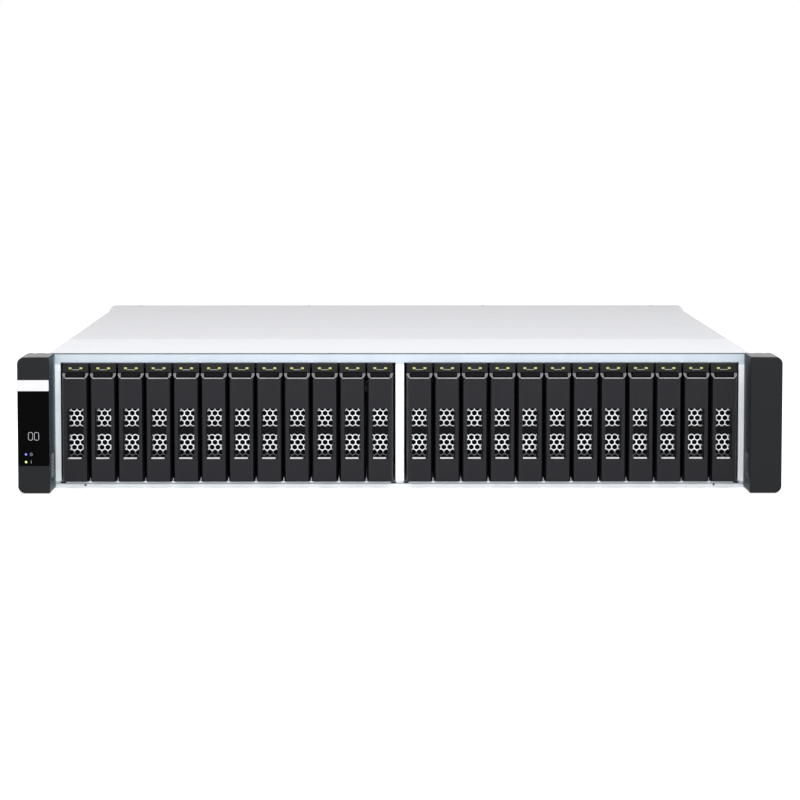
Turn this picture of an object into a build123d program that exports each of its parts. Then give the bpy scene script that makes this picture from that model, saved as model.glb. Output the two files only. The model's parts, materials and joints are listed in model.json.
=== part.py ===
"""A 2U rack storage server for twenty-four 2.5 inch drives, modelled in millimetres.

The chassis is a folded steel tub under a flat cover. Behind its front frame a drive cage guides
twenty-four drive trays, each with a pull lever that hinges at its foot. A backplane closes the
cage. Two stacked controllers and two power modules slide in from the rear. Plastic ear covers
with rack latches stand in front of the two rack flanges.

+Z is up, the front faces -Y and +X is right when looking at the front. The origin is at the
centre of the underside of the whole unit.
"""
from build123d import *
import os

os.makedirs("parts", exist_ok=True)

# Overall
overall_width = 482.6
unit_height = 87.0
chassis_depth = 530.0
ear_reach = 36.0
handle_reach = 22.0

# Sheet metal
wall = 1.2
cover_sheet = 1.0
cover_seam_depth = 129.0
cover_seam_gap = 0.4
frame_sheet = 1.5
shelf_sheet = 1.2
seat_gap = 0.3
skirt_height = 9.0
bracket_reach = 3.0
bracket_length = 45.0

# Rack flange
flange_thickness = 2.0
flange_reach = 16.8
flange_edge = 1.0
flange_hole_inset = 8.75
flange_hole_rise = 76.2
slot_width = 6.8
slot_length = 10.0

# Drive bays
tray_pitch = 17.73
tray_gap = 1.33
tray_height = 76.0
tray_base = 4.5
divider_width = 5.4
bay_side_gap = 1.7
pillar_least = 2.5
cage_wall = 1.4
cage_depth = 118.0
rib_width = 0.7
rib_height = 2.0
frame_base = 2.8
frame_relief = (2.6, 1.8)
lip_slot_inset = 19.2
lip_slot_width = 1.2

# Drive tray
rail_thickness = 3.0
rail_length = 116.0
block_depth = 14.0
head_height = 5.8
head_reach = 3.0
air_window = (9.4, 34.0)
air_window_base = 19.0
mesh_depth = 12.0
mesh_sheet = 0.8
mesh_hole_flats = 7.4
mesh_rows = (28.3, 46.0)
button_size = (10.3, 2.4)
button_reach = 6.0
button_dish = 1.0
guide_dot = (2.0, 1.3)
guide_dot_span = 6.8
guide_line = 0.5
guide_proud = 0.3
guide_height = 76.4

# Drive
drive_size = (15.0, 100.45, 69.85)
drive_setback = 15.5

# Pull lever
lever_reach = 8.0
lever_depth = 7.4
lever_wall = 1.7
lever_bevel = (1.0, 2.4)
crown_drop = 2.6
crown_setback = 4.2
lever_base = 4.8
lever_top_gap = 0.4
window_width = 10.4
lower_window = (20.3, 35.4)
upper_window = (40.2, 51.8)
crossbar_setback = 1.4
crossbar_sheet = 1.6
sill_bevel = 0.9
notch_half_width = 6.3
notch_bevel = 0.55
finger_gap = 0.35
hinge_height = 9.0
hinge_setback = 3.4
pin_radius = 1.1
pin_sides = 6
pin_clearance = 0.15
knuckle_radius = 2.4
knuckle_width = 5.6
cheek_width = 1.8
cheek_nose = 1.5
cheek_half_height = 2.0
cheek_gap = 0.25

# Backplane
board_thickness = 2.4
board_edge_gap = 0.3
board_gap = 3.0
socket_size = (5.6, 36.0)
rear_socket = (60.0, 12.0)
rear_socket_depth = 8.0
vent_size = (7.0, 22.0)
vent_drop = 18.0

# Rear bays
power_width = 104.0
rear_bay_gap = 26.6
power_depth = 300.0
module_wall = 1.0
module_gap = 0.4
controller_front_gap = 15.0
port_edge = 21.85
port_middle_gap = 10.0
port_pitch = 19.0
port_size = (14.5, 12.0)
small_port_size = (13.0, 6.0)
port_lift = 13.0
port_block_depth = 15.0
vent_row_drop = 9.0
vent_pitch = 26.0
vent_edge = 20.0
vent_length = 8.0
vent_width = 20.0
board_sheet = 1.6
sink_setback = 110.0
sink_length = 80.0
sink_height = 26.0
sink_foot = 4.0
sink_fin = 1.2
sink_fin_pitch = 8.0
sink_fin_count = 9
memory_edge = 8.5
memory_pitch = 9.5
memory_count = 4
memory_width = 3.6
memory_length = 133.0
memory_height = 30.0
ejector_inset = 3.0
ejector_lift = 20.0
ejector_reach = 14.0
ejector_length = 46.0
ejector_tip = 8.4
ejector_sheet = 2.0
ejector_height = 9.0
fan_radius = 18.0
fan_hub_radius = 8.0
fan_pitch = 41.0
fan_shift = 26.0
guard_width = 2.0
fan_gap = 0.3
fan_depth = 14.0
fan_blades = 5
fan_sides = 16
fan_blade = 8.0
fan_blade_width = 2.0
inlet_size = (31.0, 25.0)
inlet_rim = 2.0
inlet_lift = 18.0
inlet_shift = 28.0
inlet_proud = 3.2
handle_shift = 2.0
handle_base = 20.0
handle_top = 72.0
handle_slope = 6.0
handle_bar = 4.0
handle_width = 8.0

# Ear covers
ear_width = 20.0
ear_base_gap = 0.6
ear_wall = 1.8
ear_fillet = 4.6
ear_edge = 0.25
ear_notch = (2.6, 3.0)
ear_notches = (7.6, 15.6)
panel_span = (18.0, 65.5)
badge_height = 6.9
panel_proud = 0.3
panel_inset = 0.4

# Rack latch
latch_pad = (17.0, 15.0)
latch_pad_base = 9.0
latch_pad_front = 9.0
latch_thickness = 2.4
latch_gap = 0.4
latch_setback = 1.2
latch_hook_height = 8.0
latch_hook_reach = 7.0
latch_travel = 3.0
grip_ribs = 5
grip_rib = (0.8, 0.5)

# Places that follow from the sizes above
front_y = (ear_reach + panel_proud - chassis_depth - handle_reach) / 2
rear_y = front_y + chassis_depth
chassis_width = overall_width - 2 * flange_reach
tub_width = chassis_width - 2 * cover_sheet
cover_underside = unit_height - cover_sheet
tray_top = tray_base + tray_height
cage_floor = tray_base - seat_gap
cage_roof = tray_top + seat_gap
ear_inner = overall_width / 2 - ear_width
tray_width = tray_pitch - tray_gap
bay_room = ear_inner - pillar_least - divider_width / 2 - 2 * bay_side_gap
trays_per_bay = int((bay_room + tray_gap) // tray_pitch)
bay_width = trays_per_bay * tray_pitch - tray_gap + 2 * bay_side_gap
bay_centre = divider_width / 2 + bay_width / 2
bay_outer = divider_width / 2 + bay_width
tray_places = [
    side * bay_centre + (index - (trays_per_bay - 1) / 2) * tray_pitch
    for side in (-1, 1)
    for index in range(trays_per_bay)
]
cage_rear = front_y + cage_depth
board_y = cage_rear + board_gap
drive_y = front_y + drive_setback
lever_face = front_y - lever_reach
head_base = tray_top - head_height
hinge_y = front_y - hinge_setback
shelf_z = (wall + cover_underside) / 2
bulkhead_x = tub_width / 2 - 2 * wall - 2 * module_gap - power_width
rear_bay_depth = rear_y - board_y - board_thickness - rear_bay_gap
controller_depth = rear_bay_depth - controller_front_gap


def facing(y):
    """A plane that faces the front at this depth, drawn in X and Z."""
    return Plane(origin=(0, y, 0), x_dir=(1, 0, 0), z_dir=(0, -1, 0))


def rectangle_between(low, high, mode=Mode.ADD):
    """A rectangle between two corners of the sketch's own plane."""
    with Locations(((low[0] + high[0]) / 2, (low[1] + high[1]) / 2)):
        Rectangle(high[0] - low[0], high[1] - low[1], mode=mode)


def save(part, name):
    part.label = name
    export_step(part, f"parts/{name}.step")


# Chassis tub
with BuildPart() as tub:
    with BuildSketch(facing(front_y)):
        rectangle_between((-tub_width / 2, 0), (tub_width / 2, cover_underside))
        rectangle_between(
            (-tub_width / 2 + wall, wall), (tub_width / 2 - wall, cover_underside), Mode.SUBTRACT
        )
    extrude(amount=-chassis_depth)
    # Folded front lip under the drive frame, with a slot near each end
    with BuildSketch(facing(front_y)):
        rectangle_between((-tub_width / 2 + wall, 0), (tub_width / 2 - wall, frame_base - seat_gap))
        with Locations(*[(side * (ear_inner - lip_slot_inset), frame_base) for side in (-1, 1)]):
            Rectangle(lip_slot_width, 2 * (frame_base - wall), mode=Mode.SUBTRACT)
    extrude(amount=-frame_sheet)
    # Bulkheads beside the controllers and the shelf between them
    with BuildSketch(facing(rear_y - rear_bay_depth)):
        for side in (-1, 1):
            inner = side * bulkhead_x
            outer = inner + side * wall
            rectangle_between((min(inner, outer), wall), (max(inner, outer), cover_underside))
        rectangle_between(
            (-bulkhead_x, shelf_z - shelf_sheet / 2), (bulkhead_x, shelf_z + shelf_sheet / 2)
        )
    extrude(amount=-rear_bay_depth)
    # Rack flanges with their slots and the holes for the latch hooks
    with BuildSketch(facing(front_y)):
        for side in (-1, 1):
            inner = side * (tub_width / 2 - wall)
            outer = side * overall_width / 2
            rectangle_between((min(inner, outer), flange_edge), (max(inner, outer), cover_underside))
        with Locations(*[
            (side * (overall_width / 2 - flange_hole_inset), unit_height / 2 + rise * flange_hole_rise / 2)
            for side in (-1, 1)
            for rise in (-1, 1)
        ]):
            SlotOverall(slot_length, slot_width, mode=Mode.SUBTRACT)
    extrude(amount=-flange_thickness)
    with BuildSketch(facing(front_y)):
        for side in (-1, 1):
            near = side * (ear_inner + ear_wall + latch_setback - latch_gap)
            far = near + side * (latch_thickness + latch_travel + 2 * latch_gap)
            base = latch_pad_base + (latch_pad[1] - latch_hook_height) / 2 - latch_gap
            rectangle_between(
                (min(near, far), base), (max(near, far), base + latch_hook_height + 2 * latch_gap)
            )
    extrude(amount=-flange_thickness, mode=Mode.SUBTRACT)
save(tub.part, "chassis_tub")

# Top cover in two parts, a fixed front one and the lid behind it, with folded skirts and side brackets
with BuildPart() as cover:
    with BuildSketch(facing(front_y)):
        rectangle_between((-chassis_width / 2, cover_underside), (chassis_width / 2, unit_height))
    extrude(amount=-chassis_depth)
    with BuildSketch(facing(front_y + flange_thickness)):
        rectangle_between((-chassis_width / 2, cover_underside - skirt_height),
                          (chassis_width / 2, cover_underside))
        rectangle_between((-tub_width / 2, cover_underside - skirt_height),
                          (tub_width / 2, cover_underside), Mode.SUBTRACT)
    extrude(amount=flange_thickness - chassis_depth)
    with BuildSketch(facing(rear_y - bracket_length)):
        for side in (-1, 1):
            near = side * chassis_width / 2
            far = side * (chassis_width / 2 + bracket_reach)
            rectangle_between((min(near, far), cover_underside - skirt_height),
                              (max(near, far), unit_height))
    extrude(amount=-bracket_length)
    chamfer(cover.faces().sort_by(Axis.Y)[0].edges().sort_by(Axis.Z)[-1], cover_sheet / 3)
    with BuildSketch(facing(front_y + cover_seam_depth)):
        rectangle_between((-overall_width / 2, 0), (overall_width / 2, 2 * unit_height))
    extrude(amount=-cover_seam_gap, mode=Mode.SUBTRACT)
save(cover.part, "top_cover")

# Drive cage: a comb-ribbed sleeve round each bay, between a front frame and a rear frame
with BuildPart() as cage:
    with BuildSketch(facing(front_y + frame_sheet)):
        rectangle_between((-bay_outer - cage_wall, cage_floor - cage_wall),
                          (bay_outer + cage_wall, cage_roof + cage_wall))
        for side in (-1, 1):
            with Locations((side * bay_centre, (cage_floor + cage_roof) / 2)):
                Rectangle(bay_width, cage_roof - cage_floor, mode=Mode.SUBTRACT)
            for index in range(trays_per_bay - 1):
                gap_x = side * bay_centre + (index + 1 - trays_per_bay / 2) * tray_pitch
                for seat in (cage_floor + rib_height / 2, cage_roof - rib_height / 2):
                    with Locations((gap_x, seat)):
                        Rectangle(rib_width, rib_height)
    extrude(amount=2 * frame_sheet - cage_depth)
    for plate_y in (front_y, cage_rear - frame_sheet):
        with BuildSketch(facing(plate_y)):
            rectangle_between((-tub_width / 2 + wall, frame_base),
                              (tub_width / 2 - wall, cover_underside))
            for side in (-1, 1):
                with Locations((side * bay_centre, (cage_floor + cage_roof) / 2)):
                    Rectangle(bay_width, cage_roof - cage_floor, mode=Mode.SUBTRACT)
                with Locations((side * bay_outer, cage_floor)):
                    Rectangle(*frame_relief, mode=Mode.SUBTRACT)
        extrude(amount=-frame_sheet)
save(cage.part, "drive_cage")

# Backplane: one board with a socket for each drive, air slots and the plugs for the rear modules
with BuildPart() as backplane:
    with BuildSketch(facing(board_y)):
        rectangle_between((-tub_width / 2 + wall + board_edge_gap, frame_base),
                          (tub_width / 2 - wall - board_edge_gap, cover_underside - board_edge_gap))
        for side in (-1, 1):
            for index in range(0, trays_per_bay - 1, 2):
                gap_x = side * bay_centre + (index + 1 - trays_per_bay / 2) * tray_pitch
                with Locations((gap_x, tray_top - vent_drop)):
                    Rectangle(*vent_size, mode=Mode.SUBTRACT)
    extrude(amount=-board_thickness)
    with BuildSketch(facing(board_y)):
        socket_z = tray_base + rail_thickness + drive_size[2] / 2
        with Locations(*[(place, socket_z) for place in tray_places]):
            Rectangle(*socket_size)
    extrude(amount=board_y - drive_y - drive_size[1] - seat_gap)
    with BuildSketch(facing(board_y + board_thickness)):
        with Locations(*[(0, height) for height in (shelf_z / 2 + wall, shelf_z * 3 / 2)]):
            Rectangle(*rear_socket)
    extrude(amount=-rear_socket_depth)
save(backplane.part, "backplane")

# Drive tray, drawn at the centre of the front and then set in its place.
# The carrier is a side profile: a front block between two rails.
with BuildPart() as carrier:
    rail_end = front_y + rail_length
    block_back = front_y + block_depth
    with BuildSketch(Plane.YZ):
        with BuildLine():
            Polyline(
                (front_y, tray_base), (rail_end, tray_base), (rail_end, tray_base + rail_thickness),
                (block_back, tray_base + rail_thickness), (block_back, tray_top - rail_thickness),
                (rail_end, tray_top - rail_thickness), (rail_end, tray_top),
                (front_y - head_reach, tray_top), (front_y - head_reach, head_base),
                (front_y, head_base), close=True,
            )
        make_face()
    extrude(amount=tray_width / 2, both=True)
    with BuildSketch(facing(front_y)):
        with Locations((0, air_window_base + air_window[1] / 2)):
            Rectangle(*air_window)
    extrude(amount=-block_depth, mode=Mode.SUBTRACT)
    # Cheeks and pin that carry the lever
    with BuildSketch(Plane.YZ):
        with Locations((hinge_y, hinge_height)):
            RegularPolygon(pin_radius, pin_sides)
    extrude(amount=knuckle_width / 2 + cheek_gap, both=True)
    for side in (-1, 1):
        cheek_start = side * (knuckle_width / 2 + cheek_gap)
        with BuildSketch(Plane.YZ.offset(cheek_start)):
            rectangle_between((hinge_y - cheek_nose, hinge_height - cheek_half_height),
                              (front_y, hinge_height + cheek_half_height))
        extrude(amount=side * cheek_width)

# Air mesh that stands behind the lever's windows
with BuildPart() as mesh:
    with BuildSketch(facing(front_y + mesh_depth)):
        with Locations((0, air_window_base + air_window[1] / 2)):
            Rectangle(*air_window)
        with Locations(*[(0, row) for row in mesh_rows]):
            RegularPolygon(mesh_hole_flats / 3**0.5, 6, rotation=30, mode=Mode.SUBTRACT)
    extrude(amount=-mesh_sheet)

# Release button in the notch above the lever
with BuildPart() as button:
    with BuildSketch(Plane.YZ):
        with BuildLine():
            Polyline(
                (front_y, head_base - button_size[1] - finger_gap), (front_y, head_base),
                (front_y - button_reach + button_dish, head_base - finger_gap),
                (front_y - button_reach, head_base - button_size[1]),
                (front_y - button_reach, head_base - button_size[1] - finger_gap), close=True,
            )
        make_face()
    extrude(amount=button_size[0] / 2, both=True)

# Light guide: a thin line that joins two dots on the tray's head
with BuildPart() as guide:
    with BuildSketch(facing(front_y - head_reach)):
        with Locations((0, guide_height)):
            Rectangle(guide_dot_span + guide_dot[0], guide_line)
        dot_height = guide_height + guide_line / 2 + guide_dot[1] / 2
        with Locations((-guide_dot_span / 2, dot_height), (guide_dot_span / 2, dot_height)):
            Rectangle(*guide_dot)
    extrude(amount=guide_proud)

# The 2.5 inch drive on the lower rail
with BuildPart() as drive:
    drive_base = tray_base + rail_thickness
    with BuildSketch(facing(drive_y)):
        rectangle_between((-drive_size[0] / 2, drive_base), (drive_size[0] / 2, drive_base + drive_size[2]))
    extrude(amount=-drive_size[1])

# Pull lever: a folded channel with two windows, a notch for the button and a knuckle at its foot
with BuildPart() as lever:
    half = tray_width / 2
    back = lever_face + lever_depth
    lever_top = head_base - lever_top_gap
    with BuildSketch(Plane.XY.offset(lever_base)):
        with BuildLine():
            Polyline(
                (-half, back), (-half, lever_face + lever_bevel[1]),
                (-half + lever_bevel[0], lever_face), (half - lever_bevel[0], lever_face),
                (half, lever_face + lever_bevel[1]), (half, back), (half - lever_wall, back),
                (half - lever_wall, lever_face + lever_wall), (-half + lever_wall, lever_face + lever_wall),
                (-half + lever_wall, back), close=True,
            )
        make_face()
    extrude(amount=lever_top - lever_base)
    notch_base = head_base - button_size[1] - 2 * finger_gap
    with BuildSketch(facing(lever_face)):
        rectangle_between((-notch_half_width, notch_base), (notch_half_width, lever_top), Mode.ADD)
        rectangle_between((-window_width / 2, lower_window[0]), (window_width / 2, upper_window[1]))
    extrude(amount=-lever_wall, mode=Mode.SUBTRACT)
    # Crossbar between the two windows, set back from the face
    with BuildSketch(facing(lever_face + crossbar_setback)):
        rectangle_between((-half + lever_wall / 2, lower_window[1]), (half - lever_wall / 2, upper_window[0]))
    extrude(amount=-crossbar_sheet)
    # The crown slopes back beside the button, and the heel is cut clear of the tray as it turns
    with BuildSketch(Plane.YZ):
        with BuildLine():
            Polyline(
                (lever_face - lever_wall, lever_top - crown_drop), (lever_face, lever_top - crown_drop),
                (lever_face + crown_setback, lever_top), (lever_face + crown_setback, lever_top + lever_wall),
                (lever_face - lever_wall, lever_top + lever_wall), close=True,
            )
        make_face()
        rectangle_between((hinge_y, lever_base - lever_wall), (back + lever_wall, hinge_height))
    extrude(amount=tray_width, both=True, mode=Mode.SUBTRACT)
    # Sloped rim under the button and sloped sill under the windows
    rim = lever.edges().filter_by(lambda edge: abs(edge.center().Z - notch_base) < seat_gap / 10)
    chamfer(rim.filter_by(Axis.X).sort_by(Axis.Y)[0], length=notch_bevel)
    sill = lever.edges().filter_by(lambda edge: abs(edge.center().Z - lower_window[0]) < seat_gap / 10)
    chamfer(sill.filter_by(Axis.X).sort_by(Axis.Y)[0], length=sill_bevel)
    # Knuckle round the pin
    with BuildSketch(Plane.YZ):
        with Locations((hinge_y, hinge_height)):
            RegularPolygon(knuckle_radius, pin_sides)
        rectangle_between((lever_face + lever_wall, hinge_height - knuckle_radius / 2),
                          (hinge_y, hinge_height + knuckle_radius / 2))
        with Locations((hinge_y, hinge_height)):
            RegularPolygon(
                pin_radius + pin_clearance, pin_sides, major_radius=False, mode=Mode.SUBTRACT
            )
    extrude(amount=knuckle_width / 2, both=True)

tray_pieces = {"carrier": carrier, "air_mesh": mesh, "button": button, "light_guide": guide, "drive": drive}
for index, place in enumerate(tray_places, start=1):
    at_place = Location((place, 0, 0))
    pieces = []
    for piece_name, piece in tray_pieces.items():
        copied = piece.part.moved(at_place)
        copied.label = piece_name
        pieces.append(copied)
    save(Compound(children=pieces), f"drive_tray_{index:02d}")
    save(lever.part.moved(at_place), f"tray_lever_{index:02d}")


# Ear covers: open-backed plastic boxes with a bevelled outer edge and a hole for the latch's pad
latch_hole_base = latch_pad_base - latch_gap
for side, ear_name in ((-1, "ear_cover_left"), (1, "ear_cover_right")):
    outer_x = side * overall_width / 2
    inner_x = side * ear_inner
    with BuildPart() as ear:
        with BuildSketch(facing(front_y)) as outline:
            rectangle_between((min(inner_x, outer_x), ear_base_gap), (max(inner_x, outer_x), unit_height))
            fillet(outline.vertices().group_by(Axis.X)[0 if side < 0 else -1], ear_fillet)
        extrude(amount=ear_reach)
        chamfer(ear.faces().sort_by(Axis.Y)[0].edges(), ear_edge)
        with BuildSketch(facing(front_y)):
            rectangle_between(
                (min(inner_x, outer_x) + ear_wall, ear_base_gap + ear_wall),
                (max(inner_x, outer_x) - ear_wall, unit_height - ear_wall),
            )
        extrude(amount=ear_reach - ear_wall, mode=Mode.SUBTRACT)
        # Two notches in the rear edge of the top
        with BuildSketch(Plane.XY.offset(unit_height)):
            with Locations(*[(outer_x - side * inset, front_y) for inset in ear_notches]):
                Rectangle(ear_notch[0], 2 * ear_notch[1])
        extrude(amount=-ear_wall, mode=Mode.SUBTRACT)
        # Hole for the latch's pad
        with BuildSketch(Plane.YZ.offset(inner_x)):
            rectangle_between(
                (front_y - latch_pad_front - latch_pad[0] - latch_gap, latch_hole_base),
                (front_y - latch_pad_front + latch_gap, latch_hole_base + latch_pad[1] + 2 * latch_gap),
            )
        extrude(amount=side * ear_wall, mode=Mode.SUBTRACT)
    pieces = [ear.part]
    ear.part.label = "cover"
    if side < 0:
        with BuildPart() as panel:
            with BuildSketch(facing(front_y - ear_reach)):
                rectangle_between(
                    (outer_x + panel_inset, panel_span[0]), (inner_x - panel_inset, panel_span[1])
                )
            extrude(amount=panel_proud)
        with BuildPart() as badge:
            with BuildSketch(facing(front_y - ear_reach)):
                rectangle_between(
                    (outer_x + panel_inset, panel_span[1]),
                    (inner_x - panel_inset, panel_span[1] + badge_height),
                )
            extrude(amount=panel_proud)
        panel.part.label = "display_panel"
        badge.part.label = "badge_plate"
        pieces += [panel.part, badge.part]
    save(Compound(children=pieces), ear_name)

# Rack latches: a ribbed pad in the ear's inner wall, on a plate whose hook passes the rack flange
for side, latch_name in ((-1, "ear_latch_left"), (1, "ear_latch_right")):
    pad_x = side * ear_inner
    plate_x = side * (ear_inner + ear_wall + latch_setback)
    pad_back = front_y - latch_pad_front
    pad_low = (pad_back - latch_pad[0], latch_pad_base)
    pad_high = (pad_back, latch_pad_base + latch_pad[1])
    with BuildPart() as latch:
        with BuildSketch(Plane.YZ.offset(pad_x)):
            rectangle_between(pad_low, pad_high)
        extrude(amount=plate_x - pad_x)
        with BuildSketch(Plane.YZ.offset(plate_x)):
            hook_base = latch_pad_base + (latch_pad[1] - latch_hook_height) / 2
            rectangle_between(pad_low, pad_high)
            rectangle_between((pad_back, hook_base),
                              (front_y + flange_thickness + latch_hook_reach, hook_base + latch_hook_height))
        extrude(amount=side * latch_thickness)
        # Finger ribs on the pad, cut slanting as grooves
        with BuildSketch(Plane.YZ.offset(pad_x)):
            for index in range(grip_ribs):
                along = (index + 1) / (grip_ribs + 1) * latch_pad[0]
                with Locations(Location((pad_back - along, latch_pad_base + latch_pad[1] / 2), 20)):
                    Rectangle(grip_rib[0], latch_pad[1] * 0.7)
        extrude(amount=side * grip_rib[1], mode=Mode.SUBTRACT)
    save(latch.part, latch_name)


# Controllers: two open-topped sheet metal canisters, one above the shelf and one below it.
# Each has a board with heat sinks and memory, a rear panel with port recesses and two ejectors.
controller_width = 2 * (bulkhead_x - module_gap)
controller_height = shelf_z - shelf_sheet / 2 - wall - 2 * module_gap
controller_front = rear_y - controller_depth
port_count = int((controller_width / 2 - port_edge - port_middle_gap) // port_pitch)
port_row_length = (port_count - 1) * port_pitch + port_size[0]
port_row_x = controller_width / 2 - port_edge - port_row_length / 2
vent_count = int((controller_width - 2 * vent_edge) // vent_pitch)
sink_width = (sink_fin_count - 1) * sink_fin_pitch + sink_fin
memory_x = (sink_width / 2 + controller_width / 2 - memory_edge) / 2
for base, controller_name in (
    (wall + module_gap, "controller_lower"),
    (shelf_z + shelf_sheet / 2 + module_gap, "controller_upper"),
):
    top = base + controller_height
    with BuildPart() as canister:
        with BuildSketch(Plane.XY.offset(base)):
            with Locations((0, (controller_front + rear_y) / 2)):
                Rectangle(controller_width, controller_depth)
        extrude(amount=controller_height)
        offset(amount=-module_wall, openings=canister.faces().sort_by(Axis.Z)[-1])
        # Port recesses and vents in the rear panel
        with BuildSketch(facing(rear_y)):
            with Locations((port_row_x, base + port_lift)):
                with GridLocations(port_pitch, 0, port_count, 1):
                    Rectangle(*port_size)
            with Locations((-port_row_x, base + port_lift)):
                with GridLocations(port_pitch, 0, port_count, 1):
                    Rectangle(*small_port_size)
            with Locations((0, top - vent_row_drop)):
                with GridLocations(vent_pitch, 0, vent_count, 1):
                    Rectangle(vent_width, vent_length)
        extrude(amount=module_wall, mode=Mode.SUBTRACT)
        # Hole for the backplane's plug
        with BuildSketch(facing(controller_front)):
            with Locations((0, base + controller_height / 2)):
                Rectangle(rear_socket[0] + 2 * module_wall, rear_socket[1] + 2 * module_wall)
        extrude(amount=-module_wall, mode=Mode.SUBTRACT)
    with BuildPart() as board:
        with BuildSketch(Plane.XY.offset(base + module_wall)):
            with Locations((0, (controller_front + rear_y) / 2)):
                Rectangle(controller_width - 4 * module_wall, controller_depth - 8 * module_wall)
        extrude(amount=board_sheet)
    with BuildPart() as sinks:
        with BuildSketch(Plane.XY.offset(base + module_wall + board_sheet)):
            with Locations((0, controller_front + sink_setback)):
                with GridLocations(sink_fin_pitch, 0, sink_fin_count, 1):
                    Rectangle(sink_fin, sink_length)
        extrude(amount=sink_height)
        with BuildSketch(Plane.XY.offset(base + module_wall + board_sheet)):
            with Locations((0, controller_front + sink_setback)):
                Rectangle(sink_width, sink_length)
        extrude(amount=sink_foot)
    with BuildPart() as memory:
        with BuildSketch(Plane.XY.offset(base + module_wall + board_sheet)):
            for side in (-1, 1):
                with Locations((side * memory_x, controller_front + sink_setback)):
                    with GridLocations(memory_pitch, 0, memory_count, 1):
                        Rectangle(memory_width, memory_length)
        extrude(amount=memory_height)
    with BuildPart() as ports:
        with BuildSketch(facing(rear_y - module_wall)):
            with Locations((port_row_x, base + port_lift), (-port_row_x, base + port_lift)):
                Rectangle(port_row_length, port_size[1])
        extrude(amount=port_block_depth)
    with BuildPart() as ejectors:
        with BuildSketch(Plane.XY.offset(base + ejector_lift)):
            for side in (-1, 1):
                end_x = side * (controller_width / 2 - ejector_inset)
                with BuildLine():
                    Polyline(
                        (end_x, rear_y), (end_x, rear_y + ejector_reach),
                        (end_x - side * ejector_length, rear_y + ejector_tip),
                        (end_x - side * ejector_length, rear_y + ejector_tip - ejector_sheet),
                        (end_x - side * ejector_sheet, rear_y + ejector_reach - ejector_sheet),
                        (end_x - side * ejector_sheet, rear_y), close=True,
                    )
                make_face()
        extrude(amount=ejector_height)
    pieces = []
    for piece, piece_name in (
        (canister, "canister"), (board, "board"), (sinks, "heat_sink"), (memory, "memory"),
        (ports, "ports"), (ejectors, "ejectors"),
    ):
        piece.part.label = piece_name
        pieces.append(piece.part)
    save(Compound(children=pieces), controller_name)

# Power modules: full-height boxes beside the controllers, with two fans, an inlet and a pull handle
power_base = wall + module_gap
power_height = cover_underside - wall - 2 * module_gap
for side, power_name in ((-1, "power_module_left"), (1, "power_module_right")):
    middle_x = side * (bulkhead_x + wall + module_gap + power_width / 2)
    fan_spots = [(middle_x, power_base + power_height / 2 + rise * fan_pitch / 2) for rise in (-1, 1)]
    fan_spots = [(spot_x + side * fan_shift, spot_z) for spot_x, spot_z in fan_spots]
    with BuildPart() as case:
        with BuildSketch(facing(rear_y - power_depth)):
            with Locations((middle_x, power_base + power_height / 2)):
                Rectangle(power_width, power_height)
        extrude(amount=-power_depth)
        offset(amount=-module_wall, openings=case.faces().sort_by(Axis.Y)[0])
        with BuildSketch(facing(rear_y)):
            with Locations(*fan_spots):
                RegularPolygon(fan_radius, fan_sides)
                Rectangle(2 * fan_radius, guard_width, mode=Mode.SUBTRACT)
                Rectangle(guard_width, 2 * fan_radius, mode=Mode.SUBTRACT)
        extrude(amount=module_wall, mode=Mode.SUBTRACT)
    with BuildPart() as fans:
        with BuildSketch(facing(rear_y - module_wall - fan_gap)):
            with Locations(*fan_spots):
                RegularPolygon(fan_hub_radius, fan_sides)
                with PolarLocations(fan_hub_radius + fan_blade / 2, fan_blades):
                    Rectangle(fan_blade + fan_hub_radius / 2, fan_blade_width)
        extrude(amount=fan_depth)
    with BuildPart() as inlet:
        with BuildSketch(facing(rear_y)):
            with Locations((middle_x - side * inlet_shift, power_base + inlet_lift)):
                Rectangle(*inlet_size)
        extrude(amount=-inlet_proud)
        with BuildSketch(facing(rear_y + inlet_proud)):
            with Locations((middle_x - side * inlet_shift, power_base + inlet_lift)):
                Rectangle(inlet_size[0] - 2 * inlet_rim, inlet_size[1] - 2 * inlet_rim)
        extrude(amount=inlet_proud - module_wall, mode=Mode.SUBTRACT)
    with BuildPart() as grip:
        handle_x = middle_x - side * handle_shift
        with BuildSketch(Plane.YZ.offset(handle_x)):
            with BuildLine():
                Polyline(
                    (rear_y, handle_base), (rear_y + handle_reach, handle_base + handle_slope),
                    (rear_y + handle_reach, handle_top - handle_slope), (rear_y, handle_top),
                    (rear_y, handle_top - handle_bar),
                    (rear_y + handle_reach - handle_bar, handle_top - handle_slope - handle_bar / 2),
                    (rear_y + handle_reach - handle_bar, handle_base + handle_slope + handle_bar / 2),
                    (rear_y, handle_base + handle_bar), close=True,
                )
            make_face()
        extrude(amount=handle_width / 2, both=True)
    pieces = []
    for piece, piece_name in ((case, "case"), (fans, "fan_rotors"), (inlet, "inlet"), (grip, "handle")):
        piece.part.label = piece_name
        pieces.append(piece.part)
    save(Compound(children=pieces), power_name)
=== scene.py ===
# %% [markdown]
# # Rack storage server
# A lesson in dressing a CAD model. The frame holds every piece at its real size and place. Here
# the pieces get their finish, and the ones that the eye goes to first are made again as finer meshes.
# All lengths are metres, the front faces -Y, +Z is up and the origin is under the middle of the unit.

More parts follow.
